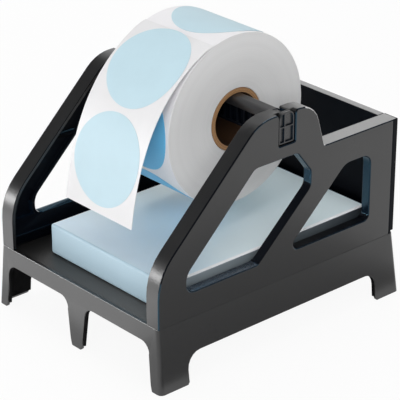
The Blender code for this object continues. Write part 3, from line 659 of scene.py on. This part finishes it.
# %% Copies of the model's parts
MERGE = 1e-6               # points that are closer become one
FLAT = math.radians(1.0)   # faces that meet more flatly become one
SAME_PLACE = 2e-5          # how far apart two equal places may be


def near(value, target):
    """True where two places are the same but for rounding."""
    return abs(value - target) < SAME_PLACE


def join_flat(bm):
    """Dissolve the edges between faces that lie in one plane."""
    bmesh.ops.dissolve_limit(bm, angle_limit=FLAT, use_dissolve_boundaries=False,
                             verts=bm.verts, edges=bm.edges)


def merged_copy(node):
    """A bmesh of a node with its triangles joined into flat, convex faces."""
    bm = bmesh.new()
    bm.from_mesh(frame["nodes"][node].data)
    bmesh.ops.remove_doubles(bm, verts=bm.verts, dist=MERGE)
    join_flat(bm)
    bmesh.ops.connect_verts_concave(bm, faces=bm.faces[:])
    return bm


def cut_plane(bm, place, facing):
    """Cut every face that crosses the plane through a place."""
    geom = bm.verts[:] + bm.edges[:] + bm.faces[:]
    bmesh.ops.bisect_plane(bm, geom=geom, dist=MERGE, plane_co=place, plane_no=facing)


def extrude_by(bm, faces, step):
    """Extrude faces and move what grew by a step."""
    grown = bmesh.ops.extrude_face_region(bm, geom=faces)
    moved = [v for v in grown["geom"] if isinstance(v, bmesh.types.BMVert)]
    bmesh.ops.translate(bm, verts=moved, vec=step)


print("places are the same within", SAME_PLACE, "m")

# %% [markdown]
# A real moulding has no razor edges: the tool leaves a small radius, and that radius is
# what catches the light as a thin bright line. A Bevel modifier would round every edge
# alike, so chosen edges are rounded instead, each group by its own radius.

# %% Edge helpers
SHARP = math.radians(30.0) # from here on an edge can be rounded


def sharp_edges(bm, test=lambda a, b: True):
    """Outward edges whose two ends pass the test."""
    return [e for e in bm.edges if e.is_manifold
            and e.calc_face_angle_signed() > SHARP
            and test(e.verts[0].co, e.verts[1].co)]


def soften(bm, edges, radius, segments=3):
    """Round the given edges."""
    bmesh.ops.bevel(bm, geom=edges, offset=radius, offset_type="OFFSET",
                    affect="EDGES", segments=segments, profile=0.5, material=-1,
                    clamp_overlap=False)


print("edges are rounded from", round(math.degrees(SHARP)), "degrees on")

# %% [markdown]
# Every finished bmesh becomes a piece in the same way: smooth shading that stays crisp
# at real edges, a body to ride on, the node that it stands for and the material that is
# its finish. Faces for a second finish could be picked by hand in the editor. In
# code they are picked by where they are and which way they look, so the choice survives
# a change of the model. The walls of a window are found by looking along each face's
# normal: what meets another wall of the same piece is one of them.

# %% Piece helpers
HIDDEN = 1                 # place of the material for faces that look at their own piece
HIDDEN_REACH = 0.15        # how far away the other wall of a window can be
FACE_LIFT = 0.0001         # a ray starts this far off its own face
CREASE = math.radians(40.0)            # shading stays crisp from here on


def mark_hidden(bm):
    """Give the second material to the faces that look at another face of the piece."""
    tree = BVHTree.FromBMesh(bm)
    for face in bm.faces:
        start = face.calc_center_median() + face.normal * FACE_LIFT
        if tree.ray_cast(start, face.normal, HIDDEN_REACH)[0] is not None:
            face.material_index = HIDDEN


def finish_piece(bm, name, body, node, material):
    """Turn a bmesh into a piece that rides on a body and stands for a node."""
    piece = mesh_object(name, bm)
    piece.data.shade_smooth()
    piece.data.set_sharp_from_angle(angle=CREASE)
    piece.data.materials.append(material)
    even = piece.modifiers.new("even_shading", "WEIGHTED_NORMAL")
    even.keep_sharp = True
    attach(piece, body)
    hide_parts(node)
    print(name, len(piece.data.vertices), "points")
    return piece


def finish_faces(piece, material, test):
    """Give the faces that pass the test one more material."""
    piece.data.materials.append(material)
    place = len(piece.data.materials) - 1
    count = 0
    for face in piece.data.polygons:
        if test(face):
            face.material_index = place
            count += 1
    print(piece.name, "has", count, "faces of", material.name)


print("window walls are sought up to", HIDDEN_REACH, "m away")

# %% [markdown]
# Each side frame is one moulding: a flat outer skin with two windows, hollow on its
# inner side, and a slot on top for the spindle. At its rear end a strip lies a little
# behind the skin, and its dark colour is painted shade. It could all be drawn again from
# the outline, but the model has that outline already. So a copy of it is cut at three
# depths, and the skin behind the first cut is pushed in.

# %% Side frames: places
BAND_INNER = OUTER - 0.0063            # inner side of the band round the windows
EDGE_INNER = BAND_INNER + 0.0003       # where the windows' inner edges lie
OUTER_ROUND = 0.0008       # radii of the outer, inner and window edges
INNER_ROUND = 0.0004
WINDOW_ROUND = 0.0004
STRIP_LINE = BACK_Y - 0.0012           # where the outer skin ends and the strip starts
STRIP_RAMP = 0.0001        # length of the step down to it
STRIP_SINK = 0.0005        # depth of that step
STRIP_ROUND = 0.0003       # radius of its edge
RIM_END = BACK_Y + 0.0015              # rear end of the bright rim
SLOT_CLEAR = 0.0090                    # from the axis to where the hump's rear edge starts


def on_face(side, depth):
    """A test for edges in a plane of X, counted outwards on one side."""
    return lambda a, b: near(side * a.x, depth) and near(side * b.x, depth)


def sink_strip(bm, side):
    """Cut the frame near its rear end and push the skin behind the cut in."""
    for y in (STRIP_LINE, STRIP_LINE + STRIP_RAMP, RIM_END):
        cut_plane(bm, (0, y, 0), (0, 1, 0))
    for vert in bm.verts:
        if near(side * vert.co.x, OUTER) and vert.co.y > STRIP_LINE + STRIP_RAMP / 2:
            vert.co.x -= side * STRIP_SINK


print("the strip starts at", round(STRIP_LINE, 4))

# %% [markdown]
# Faces are sorted by two things: how far out they lie, and which way they look. A
# normal's share along an axis says the second. Angles would say the same, but a share
# is what the normal holds, so it can be compared at once.

# %% Which way a face looks
STRAIGHT = 0.9             # share of the normal along an axis for a face that looks there
MOSTLY = 0.5
SLANTED = 0.3
SLIGHTLY = 0.2
BARELY = 0.05
ROUND_LEAST = 0.15         # the faces of a rounded edge look outwards by this share
ROUND_MOST = 0.95          # up to this one
WINDOW_MOST = 0.97         # of a window's rounded inner edge
print("a face looks along an axis from a share of", STRAIGHT)

# %% [markdown]
# The frame's hollow and rear sill get painted shade, and the windows' edges and the hump's
# rear edge a painted highlight. Sorting the faces by hand would be quicker once, and lost
# at the next change, so each finish has a test that says where its faces are.

# %% Side frames: which face gets which finish
def on_outer_round(face, side):
    """The rounded edge of the outer skin."""
    leans = ROUND_LEAST < side * face.normal.x < ROUND_MOST
    return leans and side * face.center.x > OUTER - OUTER_ROUND


def is_sill(face, side):
    """The front window's sill, on the right frame alone."""
    return (face.material_index == HIDDEN and side > 0 and face.normal.z > STRAIGHT
            and face.center.y < 0)


def is_rear_top(face):
    """The flat top behind the hump, level with the rear wall's."""
    return face.normal.z > STRAIGHT and abs(face.center.z - RIM_TOP) < INNER_ROUND


def in_painted_shade(face, side):
    """Painted shade on the hollow, the sunk strip, the rear sill and slanting walls,
    and a painted dark reflection on the slope's outer edge.
    """
    middle, normal = face.center, face.normal
    across = side * normal.x
    is_hidden = face.material_index == HIDDEN
    return ((across < -MOSTLY and side * middle.x > INNER + SAME_PLACE)
            or (middle.y > STRIP_LINE + STRIP_RAMP and across > MOSTLY)
            or middle.y > RIM_END
            or (is_hidden and normal.z > STRAIGHT and middle.y > 0)
            or (is_hidden and normal.y < -SLANTED and SLIGHTLY < normal.z < STRAIGHT)
            or (on_outer_round(face, side) and normal.y < -SLANTED
                and normal.z > SLIGHTLY))


def gets_painted_highlight(face, side):
    """Painted highlight: the hump's rear edge, its inner edge and the windows' inner edges."""
    middle, normal = face.center, face.normal
    across = side * normal.x
    depth = side * middle.x
    on_hump = middle.z > RIM_TOP and middle.y > AXIS.y + SLOT_CLEAR
    if on_outer_round(face, side):
        return on_hump and normal.y > SLIGHTLY
    if abs(depth - EDGE_INNER) < WINDOW_ROUND:
        return -WINDOW_MOST < across < -SLIGHTLY and normal.y > BARELY
    return (on_hump and depth < INNER + INNER_ROUND
            and -ROUND_MOST < across < -ROUND_LEAST and normal.z > SLANTED)


print("the hump's rear edge starts at", round(AXIS.y + SLOT_CLEAR, 4))

# %% [markdown]
# Both frames are made by the same steps: cut, round the edges, sort the faces. Mirroring
# one into the other would be possible, but each copy comes from its own node, so that it
# stays true to it. The lower outer edge stays sharp, because it lies in the seam.

# %% Side frames
for node, side in (("left_side_frame", -1), ("right_side_frame", 1)):
    bm = merged_copy(node)
    sink_strip(bm, side)
    on_skin = on_face(side, OUTER)
    strip_edges = sharp_edges(bm, lambda a, b: on_skin(a, b) and near(a.y, STRIP_LINE)
                              and near(b.y, STRIP_LINE))
    soften(bm, strip_edges, STRIP_ROUND, 2)
    outside = sharp_edges(bm, lambda a, b: on_skin(a, b)
                          and not (near(a.z, SEAM_Z) and near(b.z, SEAM_Z)))
    soften(bm, outside, OUTER_ROUND, 4)
    soften(bm, sharp_edges(bm, on_face(side, INNER)), INNER_ROUND)
    soften(bm, sharp_edges(bm, on_face(side, EDGE_INNER)), WINDOW_ROUND)
    mark_hidden(bm)
    moulding = finish_piece(bm, node + "_moulding", "holder", node,
                            black_plastic)
    # Window walls and outer rounded edges: smooth and darker, with a painted blue reflection.
    finish_faces(moulding, smooth_blue_reflection_plastic, lambda face: face.material_index == HIDDEN
                 or on_outer_round(face, side))
    # Painted blue reflection on the front window's sill.
    finish_faces(moulding, sill_blue_reflection_plastic, lambda face: is_sill(face, side))
    # Painted sheen on the flat top behind the hump.
    finish_faces(moulding, top_sheen_plastic, is_rear_top)
    # Painted shade in the hollow, the sunk strip and other recesses.
    finish_faces(moulding, painted_shade_plastic, lambda face: in_painted_shade(face, side))
    # Painted highlight on the hump's edges and the windows' inner edges.
    finish_faces(moulding, edge_highlight_plastic, lambda face: gets_painted_highlight(face, side))

# %% [markdown]
# The stand is one moulding too: four walls that lean out towards the feet. Its rim meets
# the frames in a seam as fine as a hair, and in front it stands hardly before their
# posts. A Bevel modifier would round rim and legs alike, while the real rim is crisper.
# So the rim's edges are rounded in one pass and all others in the next, and the edges on
# the ground stay sharp.

# %% Stand
STAND_ROUND = 0.0005
RIM_ROUND = 0.0002         # the rim under the frames is crisper
FOOT_FREE = 0.0008         # edges lower than this stay sharp
SEAM_CLOSE = 0.00028       # how far the rim is raised towards the frames
RIM_PROUD = 0.00025        # how far its front stands before the frames' posts
STAND_SKIN = 0.0008        # how far inside the frames' faces its outer walls still count
RIM_HEIGHT = STAND_HIGH.z + SEAM_CLOSE


def is_outer_wall(face):
    """True for the stand's outer skin, which leans out a little below the seam."""
    middle = face.calc_center_median()
    across = abs(middle.x) > OUTER - STAND_SKIN and face.normal.x * middle.x > 0
    in_front = middle.y < FRONT_Y and face.normal.y < 0
    behind = middle.y > BACK_Y + STAND_SKIN and face.normal.y > 0
    return abs(face.normal.z) < MOSTLY and (across or in_front or behind)


def is_rim_edge(edge):
    """True for an edge that lies in the rim with both ends."""
    return min(v.co.z for v in edge.verts) > RIM_HEIGHT - STAND_SKIN


bm = merged_copy("stand")
for vert in bm.verts:
    if near(vert.co.z, STAND_HIGH.z):
        vert.co.z += SEAM_CLOSE
        vert.co.y = max(vert.co.y, FRONT_Y - RIM_PROUD)
for in_rim, radius in ((True, RIM_ROUND), (False, STAND_ROUND)):
    edges = [e for e in sharp_edges(bm, lambda a, b: max(a.z, b.z) > FOOT_FREE)
             if sum(is_outer_wall(f) for f in e.link_faces) == 1
             and is_rim_edge(e) == in_rim]
    soften(bm, edges, radius)
stand = finish_piece(bm, "stand_moulding", "holder", "stand",
                     black_plastic)
# Painted highlight along the rim's top in front of the posts.
finish_faces(stand, rim_highlight_plastic, lambda face: face.center.y < FRONT_Y - SAME_PLACE
             and face.center.z > RIM_HEIGHT - RIM_ROUND and face.normal.z > SLIGHTLY)

# %% [markdown]
# The floor plate lies inside the stand's rim, and in front it closes against it. A new
# plate would be as easy to make, but a copy keeps the notches of the model. Its front
# edge moves forward by as much as the rim moved up and stays sharp, and the others get
# a small radius.

# %% Floor plate
PANEL_ROUND = 0.0003

bm = merged_copy("floor_plate")
plate_front = min(v.co.y for v in bm.verts)
for vert in bm.verts:
    if near(vert.co.y, plate_front):
        vert.co.y -= SEAM_CLOSE
plate_front -= SEAM_CLOSE
soften(bm, sharp_edges(bm, lambda a, b: not (near(a.y, plate_front)
                                             and near(b.y, plate_front))), PANEL_ROUND)
finish_piece(bm, "floor_plate_moulding", "holder", "floor_plate",
             floor_plastic)

# %% [markdown]
# The rear wall is a plain panel with a thicker rim along its top, so that it keeps its
# shape. A bar laid against the panel would show a joint. Cutting the rim's outline into
# the panel's own rear face and extruding it gives one moulding without a joint.

# %% Rear wall
RIM_BACK = 0.0885          # rear face of the thick rim
RIM_FALL = 0.0050          # its height
RIM_UNDER = RIM_TOP - RIM_FALL
RIM_HALF = INNER - FIT


def is_rim_face(face):
    """The part of the wall's rear face that the rim grows from."""
    middle = face.calc_center_median()
    return face.normal.y > STRAIGHT and middle.z > RIM_UNDER and abs(middle.x) < RIM_HALF


bm = merged_copy("rear_wall")
cut_plane(bm, (0, 0, RIM_UNDER), (0, 0, 1))
cut_plane(bm, (RIM_HALF, 0, 0), (1, 0, 0))
cut_plane(bm, (-RIM_HALF, 0, 0), (1, 0, 0))
rim = [f for f in bm.faces if is_rim_face(f)]
extrude_by(bm, rim, (0, RIM_BACK - BACK_Y, 0))
bmesh.ops.delete(bm, geom=rim, context="FACES_ONLY")
join_flat(bm)
soften(bm, sharp_edges(bm), PANEL_ROUND)
wall = finish_piece(bm, "rear_wall_moulding", "holder", "rear_wall",
                    black_plastic)
# Painted shade on the wall's front face, which looks at the roll.
finish_faces(wall, painted_shade_plastic, lambda face: face.normal.y < -STRAIGHT)
# Painted sheen on the wall's top.
finish_faces(wall, top_sheen_plastic, lambda face: face.normal.z > STRAIGHT)

# %% [markdown]
# The spindle is a bar with a plate at each end that drops into the frames' slots. The
# plates lie a little behind the frames' faces, and each has four sunk panels. The panels
# could be cut with booleans, but the model has them, only shallower. Moving the points
# of the face and of the panels by different amounts deepens them, and the same loop
# slims the plates.

# %% Spindle
SPINDLE_LOW, SPINDLE_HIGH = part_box("spindle")
PLATE_FACE = SPINDLE_HIGH.x
PLATE_SINK = 0.0007        # the end plates lie a little behind the frames' faces
PANEL_FACE = PLATE_FACE - 0.0006       # the panels' depth in the model
PANEL_SINK = 0.0006        # and they lie this much deeper here
PLATE_INNER = OUTER - 0.0036
PLATE_SLIM = 0.92          # share of the plates' width in the model
PLATE_LIFT = 0.0004        # how far their feet rise
PLATE_ROUND = 0.00025
HEAD_UNDER = SPINDLE_HIGH.z - 0.0060   # the bar is in the shade below this

bm = merged_copy("spindle")
for vert in bm.verts:
    depth = abs(vert.co.x)
    if depth > PLATE_INNER:
        vert.co.y = AXIS.y + (vert.co.y - AXIS.y) * PLATE_SLIM
        below_head = (SPINDLE_HIGH.z - vert.co.z) / (SPINDLE_HIGH.z - SPINDLE_LOW.z)
        vert.co.z += PLATE_LIFT * below_head
    if near(depth, PLATE_FACE):
        vert.co.x *= (depth - PLATE_SINK) / depth
    elif near(depth, PANEL_FACE):
        vert.co.x *= (depth - PLATE_SINK - PANEL_SINK) / depth
face_edges = sharp_edges(bm, lambda a, b: near(abs(a.x), PLATE_FACE - PLATE_SINK)
                         and near(abs(b.x), PLATE_FACE - PLATE_SINK))
soften(bm, face_edges, PLATE_ROUND, 2)
mark_hidden(bm)
bar = finish_piece(bm, "spindle_moulding", "spindle", "spindle",
                   spindle_plastic)
# The panels' walls: smooth and darker, with a painted blue reflection; below the head, painted
# shade.
finish_faces(bar, smooth_blue_reflection_plastic, lambda face: face.material_index == HIDDEN)
finish_faces(bar, painted_shade_plastic,
             lambda face: abs(face.center.x) < INNER and face.center.z < HEAD_UNDER)

# %% [markdown]
# The roll and its core are turned shapes. Cylinders with holes could be joined from
# rings, but one closed profile of (X, radius) points, spun once round the axis, is
# shorter and always closed. The corners are rounded after the spin: a cut edge of paper
# is soft, and board frays a little.

# %% Roll and core
ROUND_STEPS = 128
CORE_WALL = 0.00275
CORE_ROUND = 0.0003
ROLL_ROUND = 0.0004


def turned(half, bore, radius):
    """Spin a tube's closed profile about the roll's axis."""
    bm = bmesh.new()
    profile = [(-half, bore), (half, bore), (half, radius), (-half, radius)]
    verts = [bm.verts.new((x, 0, z)) for x, z in profile]
    edges = [bm.edges.new((verts[i - 1], verts[i])) for i in range(len(verts))]
    bmesh.ops.spin(bm, geom=verts + edges, axis=(1, 0, 0), cent=(0, 0, 0),
                   angle=math.tau, steps=ROUND_STEPS, use_merge=True)
    bmesh.ops.recalc_face_normals(bm, faces=bm.faces)
    bmesh.ops.translate(bm, verts=bm.verts, vec=AXIS)
    return bm


core_low, core_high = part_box("roll_core")
core_radius = (core_high.z - core_low.z) / 2
bm = turned(core_high.x, core_radius - CORE_WALL, core_radius)
soften(bm, sharp_edges(bm), CORE_ROUND, 2)
core = finish_piece(bm, "core_tube", "roll", "roll_core", core_board)
finish_faces(core, bore_board, lambda face: abs(face.normal.x) < MOSTLY
             and (face.center - AXIS).dot(face.normal) < 0)

bm = turned(ROLL_HALF, core_radius + FIT / 2, ROLL_RADIUS)
soften(bm, sharp_edges(bm), ROLL_ROUND)
roll = finish_piece(bm, "wound_roll", "roll", "label_roll", roll_paper)
# The wound liner is painted paler than the tail: painted light.
finish_faces(roll, wound_liner_painted_light, lambda face: abs(face.normal.x) < MOSTLY)

# %% [markdown]
# The drawn-off tail leaves the roll in one smooth curve and hangs almost straight. A
# curve object could carry it, but its labels have to follow as well. So tail and labels
# are modelled flat, as sheets in (X, distance along the tape, height above it), and
# every point is then bent onto the same course: a Bezier curve from the tail's end up
# to the roll, and the roll's own circle from there on.

# %% The tape's course
TAIL_CLEAR = 0.0008        # how far the tail passes outside the roll
TAIL_RADIUS = ROLL_RADIUS + TAIL_CLEAR
TAIL_LEAVES = math.radians(118.0)      # where it leaves the roll, from straight behind
TAIL_BACK = 0.0160         # from the frames' front to the free end
TAIL_HIGH = 0.0395         # from the seam up to the free end
TAIL_END = Vector((FRONT_Y + TAIL_BACK, SEAM_Z + TAIL_HIGH))
TAIL_LEAN = math.radians(8.1)          # of the free end, from upright
TAIL_TOP_PULL = 0.0339     # reach of the curve's handle at the roll
TAIL_END_PULL = 0.0460     # and at the free end
COURSE_STEPS = 400
ROLL_MIDDLE = Vector((AXIS.y, AXIS.z))

out = Vector((math.cos(TAIL_LEAVES), math.sin(TAIL_LEAVES)))
top = ROLL_MIDDLE + out * TAIL_RADIUS
top_pull = top + Vector((-out.y, out.x)) * TAIL_TOP_PULL
end_pull = TAIL_END + Vector((math.sin(TAIL_LEAN), math.cos(TAIL_LEAN))) * TAIL_END_PULL
course = []
for i in range(COURSE_STEPS + 1):
    t = i / COURSE_STEPS
    s = 1 - t
    course.append(TAIL_END * s ** 3 + end_pull * (3 * s * s * t)
                  + top_pull * (3 * s * t * t) + top * t ** 3)
lengths = [0.0]
for here, ahead in zip(course, course[1:]):
    lengths.append(lengths[-1] + (ahead - here).length)
TAIL_FREE = lengths[-1]
print("free tail", round(TAIL_FREE, 4), "m")

# %% [markdown]
# Two functions turn a distance along the tape and a height above it into a point. Their
# heights are counted from the tape's inner side, so a label lies on the liner by being
# given the liner's thickness. A Curve modifier would bend the sheets too, but it would
# stay live, and the finished mesh is what counts here.

# %% Bending onto the course
def on_roll(distance, lift, radius=TAIL_RADIUS):
    """Point at a distance along the tape where it lies on the roll."""
    angle = TAIL_LEAVES - (distance - TAIL_FREE) / TAIL_RADIUS
    outward = Vector((math.cos(angle), math.sin(angle)))
    return ROLL_MIDDLE + outward * (radius + lift)


def on_tape(distance, lift):
    """Point at a distance from the tape's free end, lifted off its inner side."""
    if distance >= TAIL_FREE:
        return on_roll(distance, lift)
    i = 0
    while lengths[i + 1] < distance:
        i += 1
    share = (distance - lengths[i]) / (lengths[i + 1] - lengths[i])
    point = course[i].lerp(course[i + 1], share)
    before = course[max(i - 1, 0)]
    after = course[min(i + 2, COURSE_STEPS)]
    upwards = (after - before).normalized()
    return point + Vector((-upwards.y, upwards.x)) * lift


def bend(bm, place):
    """Move flat points (X, distance, height) to where place puts them."""
    for vert in bm.verts:
        point = place(vert.co.y, vert.co.z)
        vert.co = (vert.co.x, point.x, point.y)
    bmesh.ops.recalc_face_normals(bm, faces=bm.faces)


print("the tail ends at", [round(v, 4) for v in on_tape(0.0, 0.0)])

# %% [markdown]
# The tail is one strip of release paper, 0.3 mm thick in the model. On the real roll it
# is simply the outermost turn. Here the roll turns under it, so its wrapped end gets
# thinner towards the roll and leaves room for the labels that turn past it. A butt end
# would show as a step.

# %% Tail
LINER_THICKNESS = 0.0003
LABEL_PASS = 0.00032       # room under the wrapped end for the labels
END_THINNED = 0.9          # share of its thickness that the end has lost
TAIL_WRAP = math.radians(8.5)
TAIL_LENGTH = TAIL_FREE + TAIL_RADIUS * TAIL_WRAP
TAIL_STEPS = (4, 90)       # across and along
TAIL_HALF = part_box("label_tail")[1].x


def thicken(bm, thickness):
    """Give a flat sheet at height zero its thickness."""
    extrude_by(bm, bm.faces[:], (0, 0, thickness))
    bmesh.ops.recalc_face_normals(bm, faces=bm.faces)


def tail_place(distance, lift):
    """As on_tape, but the wrapped end is thinned down towards the roll."""
    if distance < TAIL_FREE:
        return on_tape(distance, lift)
    gone = (distance - TAIL_FREE) / (TAIL_LENGTH - TAIL_FREE)
    drop = (TAIL_RADIUS - ROLL_RADIUS - LABEL_PASS) * gone
    return on_roll(distance, lift * (1 - END_THINNED * gone) - drop)


bm = bmesh.new()
bmesh.ops.create_grid(bm, x_segments=TAIL_STEPS[0], y_segments=TAIL_STEPS[1], size=0.5)
bmesh.ops.scale(bm, verts=bm.verts, vec=(2 * TAIL_HALF, TAIL_LENGTH, 1))
bmesh.ops.translate(bm, verts=bm.verts, vec=(0, TAIL_LENGTH / 2, 0))
thicken(bm, LINER_THICKNESS)
bend(bm, tail_place)
finish_piece(bm, "liner_tail", "spindle", "label_tail", liner_paper)

# %% [markdown]
# The labels are thin discs at an even pitch, two on the tail and five on the roll's
# outer turn. They could be painted onto the liner, but real labels have an edge that
# catches the light, and on the roll they have to turn with it. A disc is one face, which
# can't bend, so it is cut across every 1.5 mm first.

# %% Round labels
LABEL_THICKNESS = 0.0002
LABEL_MARGIN = 0.0021      # liner beside a label
LABEL_GAP = 0.0037         # liner between two labels
FIRST_MARGIN = 0.0045      # liner before the first label
LABEL_DIAMETER = 2 * ROLL_HALF - 2 * LABEL_MARGIN
LABEL_PITCH = LABEL_DIAMETER + LABEL_GAP
LABEL_ROUND_STEPS = 96
LABEL_CUT = 0.0015
TAIL_AIR = 0.00003         # under the labels on the tail
ROLL_AIR = 0.00005         # under the labels on the roll
TAIL_LABELS = 2
ROLL_LABELS = 5
SHADED_LABELS = (4, 5)     # these hang in the roll's shade and look a deeper blue


def round_label(name, body, material, number, place):
    """A thin disc, cut across so that it can bend, then laid on the tape."""
    centre = FIRST_MARGIN + LABEL_DIAMETER / 2 + LABEL_PITCH * number
    bm = bmesh.new()
    bmesh.ops.create_circle(bm, cap_ends=True, segments=LABEL_ROUND_STEPS,
                            radius=LABEL_DIAMETER / 2)
    bmesh.ops.translate(bm, verts=bm.verts, vec=(0, centre, 0))
    cuts = int(LABEL_DIAMETER / LABEL_CUT)
    for i in range(1, cuts):
        level = centre - LABEL_DIAMETER / 2 + LABEL_DIAMETER * i / cuts
        cut_plane(bm, (0, level, 0), (0, 1, 0))
    thicken(bm, LABEL_THICKNESS)
    bend(bm, place)
    finish_piece(bm, name + "_disc", body, name, material)


def on_liner(distance, lift):
    """Point on the tail's outer side."""
    return on_tape(distance, lift + LINER_THICKNESS + TAIL_AIR)


def on_wound(distance, lift):
    """Point on the roll's outermost turn."""
    return on_roll(distance, lift, ROLL_RADIUS + ROLL_AIR)


for i in range(TAIL_LABELS):
    round_label(f"tail_label_{i + 1}", "spindle", label_paper, i, on_liner)
for i in range(ROLL_LABELS):
    tint = shaded_label_paper if i + 1 in SHADED_LABELS else label_paper
    round_label(f"roll_label_{i + 1}", "roll", tint, TAIL_LABELS + i, on_wound)

# %% [markdown]
# The stack is folded so tightly that it is a block with soft edges. Its layers are in
# the material, so the mesh only needs its outline and the roundness of the folds. A
# subdivided cube would be rounder than paper is, so the edges get a bevel of a fixed
# radius. The top is printed label paper, the edges along its sides get a paler colour as
# a painted highlight, and the long sides a darker paper as painted shade.

# %% Fan-fold stack
STACK_ROUND = 0.0014
TOP_FACING = 0.99          # share of the normal upwards on the flat top

bm = bmesh.new()
bmesh.ops.create_cube(bm, size=1.0)
bmesh.ops.scale(bm, verts=bm.verts, vec=STACK_HIGH - STACK_LOW)
bmesh.ops.translate(bm, verts=bm.verts, vec=(STACK_HIGH + STACK_LOW) / 2)
soften(bm, sharp_edges(bm), STACK_ROUND, 4)
stack = finish_piece(bm, "folded_stack", "stack", "fanfold_stack",
                     stack_paper)
# Painted shade on the long sides.
finish_faces(stack, side_paper_painted_shade, lambda face: abs(face.normal.x) > STRAIGHT)
finish_faces(stack, stack_label_paper, lambda face: face.normal.z > TOP_FACING)
# Painted highlight on the top's side edges.
finish_faces(stack, stack_edge_highlight_paper, lambda face: SLIGHTLY < face.normal.z <= TOP_FACING
             and abs(face.normal.x) > abs(face.normal.y))
